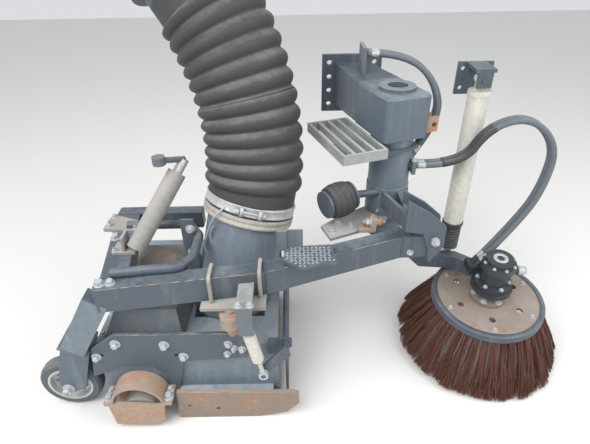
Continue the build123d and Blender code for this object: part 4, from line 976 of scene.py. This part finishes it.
@dataclass
class LooseHoses:
    """The hydraulic hoses that hang between fittings."""

    wardrobe: Wardrobe
    radius: float = 10.0
    brush_step: Station = (0.0, 22.0, 0.0)
    beam_step: Station = (0.0, -24.0, 0.0)
    bend_start: Station = tuple(row((515, 1306, 760)).tolist())
    bend_end: Station = tuple(row((680, 1270, 420)).tolist())
    guard_from: float = 70.0
    guard_to: float = 270.0

    def spline_path(self, name: str, points: Array) -> Array:
        """Points read from the route's NURBS spline of order 3, ends included.

        Args:
            name: name for the helper curve.
            points: the route's control stations.

        Returns:
            Stations along the smooth line.
        """
        curve = bpy.data.curves.new(name, "CURVE")
        curve.dimensions = "3D"
        curve.resolution_u = 24
        spline = curve.splines.new("NURBS")
        spline.points.add(len(points) - 1)
        for point, place in zip(spline.points, row(points)):
            point.co = (*place, 1.0)
        spline.order_u = 3
        spline.use_endpoint_u = True
        helper = bpy.data.objects.new(name, curve)
        bpy.context.scene.collection.objects.link(helper)
        mesh = bpy.data.meshes.new_from_object(helper)
        line = np.empty(len(mesh.vertices) * 3)
        mesh.vertices.foreach_get("co", line)
        bpy.data.objects.remove(helper)
        bpy.data.curves.remove(curve)
        bpy.data.meshes.remove(mesh)
        return line.reshape(-1, 3) / MM + FLANGE

    def hose(self, node: str, points: Sequence) -> tuple[bpy.types.Object, Array]:
        """One hose as a smooth tube along its spline.

        Args:
            node: the CAD node that the hose replaces.
            points: the route's control stations.

        Returns:
            The tube and the stations along its centre line.
        """
        path = self.spline_path(node + "_line", np.asarray(points, dtype=float))
        obj = tube(node + "_tube", path, self.radius, 20)
        self.wardrobe.dress(obj, Finish.GREY_HOSE)
        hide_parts(node)
        return obj, path

    def cover(self, name: str, end: str, path: Array) -> list[bpy.types.Object]:
        """Black guard over the first rise of a brush hose, along the same spline points.

        Args:
            name: the hose pair's name.
            end: near or far.
            path: stations along the hose.

        Returns:
            The guard, in a list of one.
        """
        s = np.concatenate([[0.0], np.cumsum(np.linalg.norm(np.diff(path, axis=0), axis=1))])
        part = path[(s > self.guard_from) & (s < self.guard_to)]
        obj = tube(f"{name}_{end}_guard", part, self.radius + 0.9, 20)
        self.wardrobe.dress(obj, Finish.HOSE)
        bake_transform(obj)
        return [obj]

    def ferrules(self, name: str, end: str, path: Array) -> None:
        """Crimped ferrules at both ends of a hose, on the bodies that hold them.

        Args:
            name: the hose pair's name.
            end: near or far.
            path: stations along the hose.
        """
        last = "brush_carrier" if name == "brush_hose" else "chassis_bracket"
        r = self.radius
        crimps = [(r + 0.2, 0.0)]
        for base in (1.0, 7.0, 13.0, 19.0):
            crimps += [(r + 0.9, base), (r + 0.9, base + 4.0), (r + 0.4, base + 4.8)]
        crimps.append((r + 0.2, 25.0))
        for tag, point, ahead, body in (
            ("first", path[0], path[1], "chassis_bracket"),
            ("last", path[-1], path[-2], last),
        ):
            obj = lathe(f"{name}_{end}_{tag}_ferrule", crimps, point, ahead - point, 24)
            self.wardrobe.dress(obj, Finish.BOLT)
            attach(obj, body)

    def build(self) -> None:
        """Builds the two brush hoses and the two beam hoses."""
        brush_route = np.array([
            (398.0, 1325.0, 700.0),
            (532.0, 1303.0, 704.0),
            (594.0, 1298.0, 834.0),
            (715.0, 1300.0, 864.0),
            (812.0, 1292.0, 772.0),
            (806.0, 1284.0, 640.0),
            (762.0, 1276.0, 520.0),
            (646.0, 1256.0, 362.0),
        ])
        beam_route = np.array([
            (262.0, 1560.0, 1000.0),
            (366.0, 1510.0, 1006.0),
            (456.0, 1462.0, 930.0),
            (470.0, 1424.0, 820.0),
            (392.0, 1392.0, 728.0),
        ])
        for name, route, step in (
            ("brush_hose", brush_route, self.brush_step),
            ("beam_hose", beam_route, self.beam_step),
        ):
            for end, share in (("near", 0.0), ("far", 1.0)):
                obj, path = self.hose(f"{name}_{end}", route + share * np.array(step))
                cover = []
                if name == "brush_hose":
                    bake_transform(obj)
                    cover = self.cover(name, end, path)
                else:
                    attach(obj, "chassis_bracket")
                self.ferrules(name, end, path)


@dataclass
class Bellows:
    """Folded rubber boot of the lift strut and the air buffer on the swing bracket."""

    wardrobe: Wardrobe
    slide: float = 74.0
    boot_low: float = 340.0
    boot_high: float = 439.4
    folds: int = 9
    fold_root_r: float = 23.0
    fold_depth: float = 10.0
    buffer_start: Station = (100.0, 1218.0, 622.0)
    buffer_end: Station = (176.0, 1262.0, 628.0)

    def boot(self) -> None:
        """Folded boot: root radius + depth w, with w a sharpened cosine that rises once a fold."""
        low, high = self.boot_low, self.boot_high
        s = np.linspace(0, 1, self.folds * 10 + 1)
        wave = (0.5 - 0.5 * np.cos(2 * np.pi * self.folds * s)) ** 0.8
        profile = np.stack([self.fold_root_r + self.fold_depth * wave, low + (high - low) * s], axis=1)
        obj = lathe("strut_boot_folds", profile, STRUT_LINE, UP, 48)
        self.wardrobe.dress(obj, Finish.HOSE)
        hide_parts("strut_boot")
        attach(obj, "lift_strut_rod")
        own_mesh(obj)

    def buffer(self) -> None:
        """Ribbed buffer between its plates: a bulged radius less a narrow groove at each of five places."""
        start, end = np.array(self.buffer_start), np.array(self.buffer_end)
        length = float(np.linalg.norm(end - start))
        s = np.linspace(0, 1, 61)
        bulge = np.interp(s, [0, 0.1, 0.3, 0.55, 0.8, 1.0], [39.0, 50.0, 55.5, 56.5, 53.5, 46.0])
        groove = 2.5 * (0.5 + 0.5 * np.cos(2 * np.pi * 4 * s)) ** 6
        profile = np.stack([bulge - groove, length * s], axis=1)
        obj = lathe("air_buffer_ribs", profile, start, end - start, 64)
        self.wardrobe.dress(obj, Finish.HOSE)
        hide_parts("air_buffer")
        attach(obj, "swing_bracket_body")

    def build(self) -> None:
        """Builds both bellows."""
        self.boot()
        self.buffer()


@dataclass(frozen=True)
class Fastener:
    """One bolt or nut: its station, its outward way, its width across flats and its bare stud."""

    place: Station
    axis: Station = UP
    across: float = 15.0
    stud: float = 0.0

    def build(self) -> bpy.types.Object:
        """Makes the fastener.

        Returns:
            A nut on its stud where a stud is given, else a bolt.
        """
        if self.stud:
            return nut_on_stud(self.place, self.axis, self.across, self.stud)
        return bolt(self.place, self.axis, self.across)


def circle_of(
    centre: Station, axis: Station, radius: float, count: int, start: float = 0.0
) -> list[Station]:
    """Stations on a circle: centre + radius (cos a side + sin a up), at even angles a.

    Args:
        centre: the circle's centre.
        axis: direction square to the circle.
        radius: in millimetres.
        count: number of stations.
        start: first angle in radians.

    Returns:
        The stations in order.
    """
    basis = axis_frame(axis)
    turn = start + np.linspace(0, 2 * np.pi, count, endpoint=False)
    ring = np.cos(turn)[:, None] * basis[0] + np.sin(turn)[:, None] * basis[1]
    return [tuple(p) for p in (np.asarray(centre) + radius * ring).tolist()]


def up_brush(height: float) -> Station:
    """Station on the brush's axis, at a height over the disc's underside."""
    return tuple((np.asarray(BRUSH_CENTRE) + height * np.asarray(BRUSH_AXIS)).tolist())


def fastener_table() -> dict[tuple[str, str], list[Fastener]]:
    """Every bolt and nut of the unit.

    Returns:
        Lists of fasteners, by the name of their piece and the body that it rides on.
    """
    side_plate_y = 942.0
    side_plate_xz_size = [
        (-541.0, 317.0, 19.0),
        (-397.0, 309.0, 19.0),
        (-610.0, 262.0, 18.0),
        (-346.0, 258.0, 18.0),
        (-206.0, 310.0, 15.0),
        (-166.0, 286.0, 15.0),
        (-212.0, 266.0, 14.0),
    ]
    side_plate = [Fastener((x, side_plate_y, z), KERB, size) for x, z, size in side_plate_xz_size]
    wheel_axis = (0.0, 1.0, 0.0)
    sleeve_axis = (-0.524, -0.852, 0.0)
    return {
        ("side_plate_bolts", "trailing_frame"): [
            *side_plate,
            Fastener((-190.0, side_plate_y, 292.0), KERB, 15.0, 8.0),
        ],
        ("housing_bolts", "trailing_frame"): [
            Fastener((-588.0, 898.0, 126.0), UP, 19.0),
            Fastener((-404.0, 898.0, 126.0), UP, 19.0),
            Fastener((-588.0, 924.0, 126.0), UP, 14.0),
            Fastener((-404.0, 924.0, 126.0), UP, 14.0),
        ],
        ("frame_bolts", "trailing_frame"): [
            Fastener((-536.0, 952.0, 540.0), UP, 19.0),
            Fastener((-508.0, 956.0, 540.0), UP, 17.0),
            Fastener((-596.0, 1226.0, 550.0), UP, 14.0, 8.0),
            Fastener((-562.0, 1173.0, 540.0), UP, 20.0),
            Fastener((-510.0, 1216.0, 550.0), UP, 14.0),
            Fastener((-598.0, 1282.0, 550.0), UP, 14.0),
            Fastener((-537.0, 1092.0, 548.0), UP, 12.0, 6.0),
            Fastener((-483.0, 1136.0, 548.0), UP, 12.0, 6.0),
            Fastener((-318.0, 1148.0, 586.0), KERB, 17.0),
            Fastener((-326.0, 1148.0, 500.0), KERB, 13.0),
        ],
        ("hoop_nuts", "trailing_frame"): [
            Fastener((-240.0, 959.0, 450.0), DOWN, 17.0, 6.0),
            Fastener((-102.0, 979.0, 450.0), DOWN, 17.0, 6.0),
            Fastener((-240.0, 1020.0, 450.0), DOWN, 17.0, 6.0),
        ],
        ("hood_bolts", "trailing_frame"): [
            Fastener((-601.0, float(y), 300.0), UP, 12.0) for y in range(1000, 1361, 90)
        ],
        ("step_bracket_bolts", "trailing_frame"): [
            Fastener((362.0, 1151.0, 481.0), KERB, 13.0),
            Fastener((-124.0, 890.0, 510.0), UP, 13.0),
            Fastener((-156.0, 890.0, 510.0), UP, 13.0),
        ],
        ("axle_nut", "trailing_frame"): [
            Fastener((WHEEL_CENTRE[0], 954.0, WHEEL_CENTRE[2]), KERB, 26.0, 4.0),
        ],
        ("rim_bolts", "support_wheel"): [
            Fastener(p, KERB, 9.0) for p in circle_of(WHEEL_CENTRE, wheel_axis, 46.0, 6, 0.5236)
        ],
        ("swing_bolts", "swing_bracket_body"): [
            Fastener((139.0, 1244.0, 533.0), UP, 17.0),
            Fastener((118.0, 1196.0, 533.0), UP, 13.0),
            Fastener((180.0, 1232.0, 533.0), UP, 13.0),
            Fastener((255.0, 1208.0, 561.0), (1.0, 0.0, 0.0), 22.0),
            Fastener((241.0, 1208.0, 561.0), (-1.0, 0.0, 0.0), 22.0),
            Fastener((430.0, 1130.0, 532.0), KERB, 17.0, 5.0),
            Fastener((275.8, 1291.2, 552.0), sleeve_axis, 8.0, 9.0),
        ],
        ("brush_hub_bolts", "plate_brush"): [
            Fastener(p, BRUSH_AXIS, 15.0) for p in circle_of(up_brush(22.0), BRUSH_AXIS, 48.0, 6, 0.4)
        ],
        ("brush_disc_bolts", "plate_brush"): [
            Fastener(p, BRUSH_AXIS, 10.0) for p in circle_of(up_brush(10.0), BRUSH_AXIS, 154.0, 6, 0.87)
        ],
        ("motor_bolts", "brush_carrier"): [
            Fastener(p, BRUSH_AXIS, 9.0) for p in circle_of(up_brush(90.0), BRUSH_AXIS, 51.0, 6, 0.2)
        ]
        + [Fastener(p, BRUSH_AXIS, 7.0) for p in circle_of(up_brush(176.0), BRUSH_AXIS, 49.0, 8, 0.1)],
        ("manifold_bolts", "chassis_bracket"): [
            Fastener((380.0, 1306.0, 724.0), UP, 10.0),
            Fastener((380.0, 1380.0, 724.0), UP, 10.0),
        ],
    }


@dataclass
class Fasteners:
    """Bolts and nuts, one piece for each entry of the table."""

    wardrobe: Wardrobe

    def build(self) -> None:
        """Builds each set on its body."""
        for (name, body), items in fastener_table().items():
            obj = merged(name, [item.build() for item in items])
            self.wardrobe.dress(obj, Finish.BOLT)
            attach(obj, body)


@dataclass
class Welds:
    """Weld beads where the unit's tubes and plates join."""

    wardrobe: Wardrobe

    def foot_run(self) -> list[Station]:
        """Line round the duct's foot: a rounded square, by four quarter circles.

        Returns:
            The stations in order, the first one again at the end.
        """
        half, corner, outside = 123.0, 110.0, 1.5
        foot_x, foot_y, top = -216.0, 1178.0, 301.0
        points = []
        for quarter in range(4):
            a = np.linspace(0, np.pi / 2, 9) + quarter * np.pi / 2
            sx, sy = np.sign(np.cos(a[4])), np.sign(np.sin(a[4]))
            x = foot_x + sx * (half - corner) + (corner + outside) * np.cos(a)
            y = foot_y + sy * (half - corner) + (corner + outside) * np.sin(a)
            points += [(float(u), float(v), top) for u, v in zip(x, y)]
        return points + points[:1]

    def build(self) -> None:
        """Builds one piece of beads for each body."""
        column = circle_of((*COLUMN_LINE[:2], 805.0), UP, 66.5, 48)
        runs = {
            ("frame_welds", "trailing_frame"): [
                [(-83.6, 989.8, 462.0), (-83.6, 989.8, 540.6), (-96.3, 1039.6, 540.6)],
                [(334.6, 1150.6, 462.0), (334.6, 1150.6, 540.6), (325.4, 1200.8, 540.6)],
                [(364.5, 1150.6, 462.0), (364.5, 1150.6, 540.6), (364.5, 1201.0, 540.6)],
                [(-547.0, 977.0, 540.6), (-471.0, 987.6, 540.6)],
                [(-599.0, 1315.6, 540.6), (-527.0, 1315.6, 540.6)],
                self.foot_run(),
            ],
            ("column_welds", "chassis_bracket"): [column + column[:1]],
        }
        for (name, body), lines in runs.items():
            obj = merged(name, [bead(f"bead_{i}", line, 2.6) for i, line in enumerate(lines)])
            self.wardrobe.dress(obj, Finish.PAINT)
            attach(obj, body)


@dataclass
class HoseClamp:
    """Ribbed seal, rolled band and T-bolt under the suction hose, with the wire bail on the left."""

    wardrobe: Wardrobe
    centre: Array = field(default_factory=lambda: np.array(CLAMP_CENTRE))
    pull: Array = field(default_factory=lambda: np.array(CLAMP_PULL))
    band_radius: float = 141.4
    band_root: float = 138.2

    def finish(self, obj: bpy.types.Object, look: Finish, slot: str) -> None:
        """Dresses a piece and sets it on the trailing frame.

        Args:
            obj: the piece.
            look: its finish.
            slot: not used.
        """
        self.wardrobe.dress(obj, look)
        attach(obj, "trailing_frame")

    def t_bolt(self, along: Array) -> bpy.types.Object:
        """Two trunnions at the front of the band, the bolt between them, its nut and its head.

        Args:
            along: the band's axis.

        Returns:
            The bolt and its seats as one mesh.
        """
        front = unit(np.array([0.0, -1.0, 0.0]) + along[1] * along)
        side = np.cross(front, along)
        middle = self.centre + 21.0 * along + (self.band_radius + 6.0) * front
        outward, upright = tuple(front), tuple(along)
        parts = []
        for at, strap in ((-30.0, -30.0), (26.0, 14.0)):
            place = middle + at * side
            pin = [place - 13.0 * along, place + 13.0 * along]
            parts.append(tube("trunnion", pin, 6.5, 16, hint=outward))
            low = place - 6.0 * front + 8.0 * side
            parts.append(tube("strap", [place, low + strap * side], 3.2, 12, hint=upright))
        parts.append(tube("shank", [middle - 40.0 * side, middle + 62.0 * side], 3.6, 14, hint=upright))
        parts.append(bolt(middle + 34.0 * side, side, 13.0, 10.0))
        parts.append(bolt(middle - 38.0 * side, -side, 13.0, 6.0))
        return merged("clamp_t_bolt", parts)

    def bail(self) -> bpy.types.Object:
        """Bent wire that hangs from the band's left end.

        The corners are joined by straight runs, and each point then moves six times to a quarter of
        each neighbour and half of itself.

        Returns:
            The wire as one tube.
        """
        corners = np.array([
            (-205.0, 1142.0, 664.0),
            (-226.0, 1132.0, 652.0),
            (-252.0, 1138.0, 612.0),
            (-270.0, 1146.0, 566.0),
            (-284.0, 1150.0, 522.0),
            (-279.0, 1150.0, 496.0),
            (-264.0, 1151.0, 500.0),
            (-258.0, 1150.0, 530.0),
            (-262.0, 1146.0, 572.0),
            (-246.0, 1146.0, 596.0),
        ])
        share = np.linspace(0, len(corners) - 1, 73)
        path = np.stack([np.interp(share, np.arange(len(corners)), corners[:, k]) for k in range(3)], axis=1)
        for _ in range(6):
            path[1:-1] = 0.25 * path[:-2] + 0.5 * path[1:-1] + 0.25 * path[2:]
        return tube("wire_bail", path, 2.4, 10, hint=(0.2, 1.0, 0.1))

    def build(self) -> None:
        """Builds the seal's ribs, the band, its bolt and the bail."""
        along = unit(self.pull)
        centre, axis = tuple(self.centre.tolist()), tuple(along.tolist())
        section = [
            (139.5, -29.6), (141.6, -29.6), (142.6, -27.5), (142.6, -20.0), (141.4, -18.5),
            (141.4, -14.0), (142.8, -12.5), (142.8, -2.5), (141.8, -0.8), (139.5, -0.8),
        ]
        seal = ring_solid("seal_ribs", section, centre, axis, 360, ribs=72, rise=1.1)
        self.finish(seal, Finish.SEAL, "cream_paint")
        r, root = self.band_radius, self.band_root
        band = [
            (root, 7.0), (r + 0.6, 7.0), (r + 1.4, 9.0), (r, 11.5),
            (r, 30.5), (r + 1.4, 33.0), (r + 0.6, 35.0), (root, 35.0),
        ]
        self.finish(ring_solid("clamp_roll", band, centre, axis, 128), Finish.ZINC, "zinc_steel")
        self.finish(self.t_bolt(along), Finish.BOLT, "zinc_steel")
        self.finish(self.bail(), Finish.BOLT, "zinc_steel")


@dataclass
class FrameTrim:
    """Checker tread, upright brackets, crank thread and worn edges of the trailing frame."""

    wardrobe: Wardrobe
    tread: tuple[tuple[float, float], ...] = (
        (-30.0, 1084.0),
        (104.0, 1092.0),
        (118.0, 1010.0),
        (12.0, 978.0),
        (-36.0, 1020.0),
    )
    tread_top: float = 560.0
    mark_pitch: float = 12.0
    mark_margin: float = 8.0
    frame_top: float = 540.0
    cap_depths: tuple[float, float] = (-3.0, 1.0)

    def inside(self, x: float, y: float, margin: float) -> bool:
        """Whether a point lies inside the tread's outline by at least the margin.

        Args:
            x: station along the vehicle.
            y: station inboard.
            margin: smallest way to each edge in millimetres.

        Returns:
            True inside the outline drawn in by the margin.
        """
        corners = np.array(self.tread)
        middle = corners.mean(axis=0)
        for a, b in zip(corners, np.roll(corners, -1, axis=0)):
            normal = unit(np.array([a[1] - b[1], b[0] - a[0]]))
            if (middle - a) @ normal < 0:
                normal = -normal
            if (np.array([x, y]) - a) @ normal < margin:
                return False
        return True

    def lozenges(self) -> bpy.types.Object:
        """Raised checker marks: small pointed hulls, turned by turns to plus and minus 45 degrees.

        Returns:
            All marks as one mesh.
        """
        marks = []
        for i, x in enumerate(np.arange(-36.0, 120.0, self.mark_pitch)):
            for j, y in enumerate(np.arange(980.0, 1094.0, self.mark_pitch)):
                if not self.inside(x, y, self.mark_margin):
                    continue
                a = math.pi / 4 if (i + j) % 2 else -math.pi / 4
                u = np.array([math.cos(a), math.sin(a), 0.0])
                v = np.array([-math.sin(a), math.cos(a), 0.0])
                base = np.array([x, y, self.tread_top - 0.4])
                top = np.array([x, y, self.tread_top + 1.4])
                points = [base + 6.6 * u, base - 6.6 * u, base + 2.3 * v, base - 2.3 * v]
                points += [top + 4.4 * u, top - 4.4 * u, top + 1.1 * v, top - 1.1 * v]
                marks.append(hull("mark", np.array(points)))
        return merged("checker_marks", marks)

    def edge_run(
        self, start: Station, end: Station, spans: Sequence[tuple[float, float]]
    ) -> list[bpy.types.Object]:
        """Bare metal along an edge: thin rounds whose radius swells and tapers over each span.

        Args:
            start: first station of the edge.
            end: last station of the edge.
            spans: first and last share of the way of each round.

        Returns:
            One tube for each span.
        """
        a, b = np.asarray(start), np.asarray(end)
        runs = []
        for low, high in spans:
            s = np.linspace(low, high, 24)
            swell = 0.9 + 0.5 * np.sin(s * 61.0) * np.sin(s * 23.0)
            taper = np.sin(np.pi * (s - low) / (high - low)).clip(0.15, 1.0) ** 0.4
            runs.append(tube("edge", a + s[:, None] * (b - a), swell * taper, 8, hint=(0.1, 0.6, 0.8)))
        return runs

    def edges(self) -> None:
        """Rust and bare metal along the arm's, the side plate's and the skid's top edges."""
        top = self.frame_top
        arm_left, arm_bend, arm_knee = (-550.0, 925.2, top), (-83.6, 990.3, top), (334.6, 1151.2, top)
        plate_low, plate_left, plate_right = (
            (-617.0, 942.0, 300.0),
            (-541.0, 942.0, 352.0),
            (-170.0, 942.0, 352.0),
        )
        skid_left, skid_right = (-382.0, 910.0, 128.0), (-16.0, 910.0, 120.0)
        rust = self.edge_run(arm_left, arm_bend, ((0.16, 0.22), (0.30, 0.40), (0.52, 0.58), (0.66, 0.99)))
        rust += self.edge_run(arm_bend, arm_knee, ((0.02, 0.10), (0.16, 0.2)))
        rust += self.edge_run(plate_left, plate_right, ((0.0, 0.46), (0.5, 0.7), (0.74, 1.0)))
        bare = self.edge_run(arm_left, arm_bend, ((0.02, 0.15), (0.24, 0.29), (0.42, 0.5), (0.6, 0.65)))
        bare += self.edge_run(arm_bend, arm_knee, ((0.12, 0.15), (0.3, 0.5), (0.6, 0.95)))
        bare += self.edge_run(plate_low, plate_left, ((0.05, 0.95),))
        bare += self.edge_run(skid_left, skid_right, ((0.02, 0.4), (0.45, 0.97)))
        for name, parts, look, slot in (
            ("edge_rust", rust, Finish.RUSTY, "rusty_steel"),
            ("edge_bare", bare, Finish.WORN, "worn_steel"),
        ):
            obj = merged(name, parts)
            self.wardrobe.dress(obj, look)
            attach(obj, "trailing_frame")

    def tilted_cap(
        self, name: str, end: Station, way: Station, side: Station, other: Station, half: tuple[float, float]
    ) -> bpy.types.Object:
        """Flat cap: the hull of end + d way + a side + b other, with a and b plus and minus the halves.

        Args:
            name: the piece's name.
            end: middle of the open end.
            way: the member's direction.
            side: first direction across it.
            other: second direction across it.
            half: half the cap's size along side and other.

        Returns:
            The cap as one closed mesh.
        """
        way_v, side_v, other_v = (np.array(v) for v in (way, side, other))
        corners = ((-1, -1), (1, -1), (1, 1), (-1, 1))
        points = [
            np.array(end) + depth * way_v + half[0] * a * side_v + half[1] * b * other_v
            for depth in self.cap_depths
            for a, b in corners
        ]
        return hull(name, np.array(points))

    def end_caps(self) -> None:
        """Welded caps on the open ends of the arm, the leg and the rear member."""
        arm = self.tilted_cap(
            "arm_cap", (-550.0, 950.0, 500.0), (0.990, 0.140, 0.0), (0.140, -0.990, 0.0), UP, (24.6, 39.6)
        )
        leg = self.tilted_cap(
            "leg_cap", (-554.0, 950.0, 490.0), (-0.5145, 0.0, -0.8575), (0.8575, 0.0, -0.5145),
            (0.0, 1.0, 0.0), (35.6, 23.6),
        )
        caps = merged("member_caps", [
            arm,
            leg,
            block("rear_left", (-603.0, 1316.6, 480.6), (-599.0, 1359.4, 539.4), 1.5),
            block("rear_right", (-319.0, 1316.6, 480.6), (-315.0, 1359.4, 539.4), 1.5),
        ])
        self.wardrobe.dress(caps, Finish.PAINT)
        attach(caps, "trailing_frame")

    def boss(self) -> None:
        """Rusted bush and stud of the nozzle's hanger."""
        bush_top = 437.0
        profile = [
            (30.0, 385.2), (34.6, 388.0), (34.8, 400.0), (33.6, 402.0),
            (33.6, 420.0), (34.8, 422.0), (34.6, 434.0), (31.0, bush_top),
        ]
        stud = lathe("stud", [(16.6, 351.0), (16.6, 386.5)], HANGER_LINE, UP, 40)
        bush = lathe("bush", profile, HANGER_LINE, UP, 56)
        nut = bolt((*HANGER_LINE[:2], bush_top), UP, 34.0, 9.0)
        obj = merged("hanger_bush", [stud, bush, nut])
        self.wardrobe.dress(obj, Finish.RUSTY)
        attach(obj, "trailing_frame")

    def crank_thread(self) -> bpy.types.Object:
        """Threaded neck of the height crank: a zigzag profile of 4 mm pitch.

        Returns:
            The neck as one closed mesh.
        """
        tube_top, along = (-350.0, 1226.0, 738.0), unit(np.array([126.0, 126.0, 186.0]))
        h = np.arange(0.0, 44.0, 1.0)
        r = 14.3 + 0.9 * np.abs((h / 2.0) % 2 - 1)
        return lathe("crank_thread", np.stack([r, h], axis=1), tube_top, tuple(along.tolist()), 32)

    def build(self) -> None:
        """Builds the trim on the trailing frame."""
        upright = merged("step_uprights", [
            block("pale", (-27.0, 1079.0, 559.0), (22.0, 1084.0, 623.0), 1.0),
            block("blue", (-54.0, 1074.0, 552.0), (-24.0, 1080.0, 622.0), 1.0),
        ])
        for obj, look, slot in (
            (self.lozenges(), Finish.BOLT, "zinc_steel"),
            (upright, Finish.DUSTY_PAINT, "dusty_grey_paint"),
            (self.crank_thread(), Finish.ZINC, "zinc_steel"),
        ):
            self.wardrobe.dress(obj, look)
            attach(obj, "trailing_frame")
        self.edges()
        self.end_caps()
        self.boss()


@dataclass
class BrushTrim:
    """Rim band on the disc, ring and port on the motor, and the gland of the lift strut."""

    wardrobe: Wardrobe

    def local(self, x: float, y: float, z: float) -> Array:
        """Station of a point given about the disc's centre.

        Args:
            x: along the vehicle.
            y: across the disc.
            z: along the brush's axis.

        Returns:
            The station.
        """
        c, s = BRUSH_AXIS[2], -BRUSH_AXIS[1]
        return np.asarray(BRUSH_CENTRE) + np.array([x, y * c - z * s, y * s + z * c])

    def build(self) -> None:
        """Builds each piece on its body."""
        rim = [
            (172.2, 12.6), (172.2, 14.0), (186.6, 14.0), (189.0, 11.5),
            (189.2, 3.5), (188.3, 2.0), (188.3, 0.5), (190.0, -1.5),
            (190.0, -11.5), (188.2, -13.8), (186.5, -13.5), (187.5, 12.2),
        ]
        top = [(24.0, 189.0), (24.0, 191.5), (12.0, 191.5), (12.0, 189.0)]
        port = [self.local(70.0, 0.0, 132.0), self.local(97.0, 0.0, 132.0)]
        gland = [(32.0, 440.5), (35.5, 440.5), (36.5, 443.0), (36.5, 451.0), (35.0, 453.5), (32.0, 453.5)]
        nut = [(15.5, 0.0), (16.6, 1.0), (16.6, 11.0), (15.5, 12.0)]
        hexagon = lathe("hexagon", nut, port[0], port[1] - port[0], 6)
        ring_edge = [(53.2, 951.2), (54.7, 950.6), (54.9, 952.2), (53.0, 952.7)]
        bore_edge = [(31.6, 951.0), (33.6, 951.6), (33.2, 952.7), (31.4, 952.4)]
        worn = merged("head_ring_wear", [
            ring_solid("outer", ring_edge, COLUMN_LINE, UP, 96),
            ring_solid("inner", bore_edge, COLUMN_LINE, UP, 72),
        ])
        rim_band = ring_solid("brush_rim_band", rim, BRUSH_CENTRE, BRUSH_AXIS, 144)
        top_ring = ring_solid("motor_top_ring", top, BRUSH_CENTRE, BRUSH_AXIS, 48)
        motor_port = merged("motor_port", [hexagon, tube("stub", port, 13.6, 24, hint=UP)])
        strut_gland = ring_solid("strut_gland", gland, STRUT_LINE, UP, 64)
        pieces = (
            (worn, Finish.WORN, "worn_steel", "chassis_bracket"),
            (rim_band, Finish.PAINT, "grey_paint", "plate_brush"),
            (top_ring, Finish.BOLT, "zinc_steel", "brush_carrier"),
            (motor_port, Finish.BOLT, "zinc_steel", "brush_carrier"),
            (strut_gland, Finish.DARK_CAST, "dark_cast", "lift_strut"),
        )
        for obj, look, slot, body in pieces:
            self.wardrobe.dress(obj, look)
            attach(obj, body)


def stand(obj: bpy.types.Object, columns: Sequence[Array]) -> None:
    """Sets the place and the turn of a camera or a lamp.

    Args:
        obj: the camera or lamp.
        columns: its three axes and its place, in the row's frame.
    """
    matrix = Matrix.Identity(4)
    for column, vector in enumerate(columns):
        for line in range(3):
            matrix[line][column] = float(vector[line])
    obj.matrix_world = matrix
    bpy.context.scene.collection.objects.link(obj)


@dataclass
class Studio:
    """Camera, floor and soft light."""

    eye_height: float = 1350.0
    pitch_deg: float = 33.0
    roll_deg: float = 1.0
    sensor_mm: float = 36.0
    focal_px: float = 455.0
    picture_px: float = 590.0
    floor_half: float = 9000.0

    def camera(self) -> None:
        """Camera above the kerb-side ground, pitched down and rolled a little."""
        pitch, roll = math.radians(self.pitch_deg), math.radians(self.roll_deg)
        forward = np.array([0.0, math.cos(pitch), -math.sin(pitch)])
        level_up = np.array([0.0, math.sin(pitch), math.cos(pitch)])
        level_right = np.array([1.0, 0.0, 0.0])
        right = math.cos(roll) * level_right - math.sin(roll) * level_up
        up = math.sin(roll) * level_right + math.cos(roll) * level_up
        data = bpy.data.cameras.new("camera")
        data.sensor_width = self.sensor_mm
        data.sensor_fit = "HORIZONTAL"
        data.lens = self.sensor_mm * self.focal_px / self.picture_px
        data.clip_start = 0.05
        obj = bpy.data.objects.new("camera", data)
        stand(obj, (right, up, -forward, row((0.0, 0.0, self.eye_height))))
        bpy.context.scene.camera = obj

    def floor(self) -> None:
        """Plain pale floor at ground level."""
        half, low = self.floor_half, -1.0
        corners = [(-half, -half, low), (half, -half, low), (half, half, low), (-half, half, low)]
        obj = mesh_object("floor", np.array(corners), [(0, 1, 2, 3)], smooth=False)
        material = bpy.data.materials.new("floor_pale")
        material.use_nodes = True
        shader = material.node_tree.nodes["Principled BSDF"]
        shader.inputs["Base Color"].default_value = (0.74, 0.73, 0.71, 1)
        shader.inputs["Roughness"].default_value = 0.9
        obj.data.materials.append(material)

    def lights(self) -> None:
        """Soft world light and two large area lamps."""
        world = bpy.data.worlds.new("sky")
        bpy.context.scene.world = world
        world.use_nodes = True
        background = world.node_tree.nodes["Background"]
        background.inputs["Color"].default_value = (0.95, 0.97, 1.0, 1)
        background.inputs["Strength"].default_value = 0.75
        for name, place, target, size, power in (
            ("key", (-1600, -600, 3200), (0, 1200, 500), 2.6, 130.0),
            ("fill", (2200, 200, 2200), (300, 1200, 400), 2.4, 50.0),
        ):
            data = bpy.data.lights.new(name, "AREA")
            data.size = size
            data.energy = power
            obj = bpy.data.objects.new(name, data)
            basis = axis_frame(row(place) - row(target))
            stand(obj, (*basis, row(place)))

    def build(self) -> None:
        """Builds the studio and sets the plain view transform."""
        self.camera()
        self.floor()
        self.lights()
        bpy.context.scene.view_settings.view_transform = "Standard"


SUB_ASSEMBLIES = (
    LooseHoses,
    SuctionHose,
    PlateBrush,
    Bellows,
    Fasteners,
    Welds,
    HoseClamp,
    FrameTrim,
    BrushTrim,
)


def main() -> None:
    """Builds every sub-assembly in order and reports it."""
    logging.basicConfig(level=logging.INFO, format="%(name)s: %(message)s")
    Studio().build()
    wardrobe = Wardrobe()
    for finish, names in NODE_FINISHES.items():
        for name in names:
            wardrobe.dress_node(name, finish)
    for kind in SUB_ASSEMBLIES:
        kind(wardrobe).build()
        LOG.info("built %s", kind.__name__)


if __name__ == "__main__":
    main()
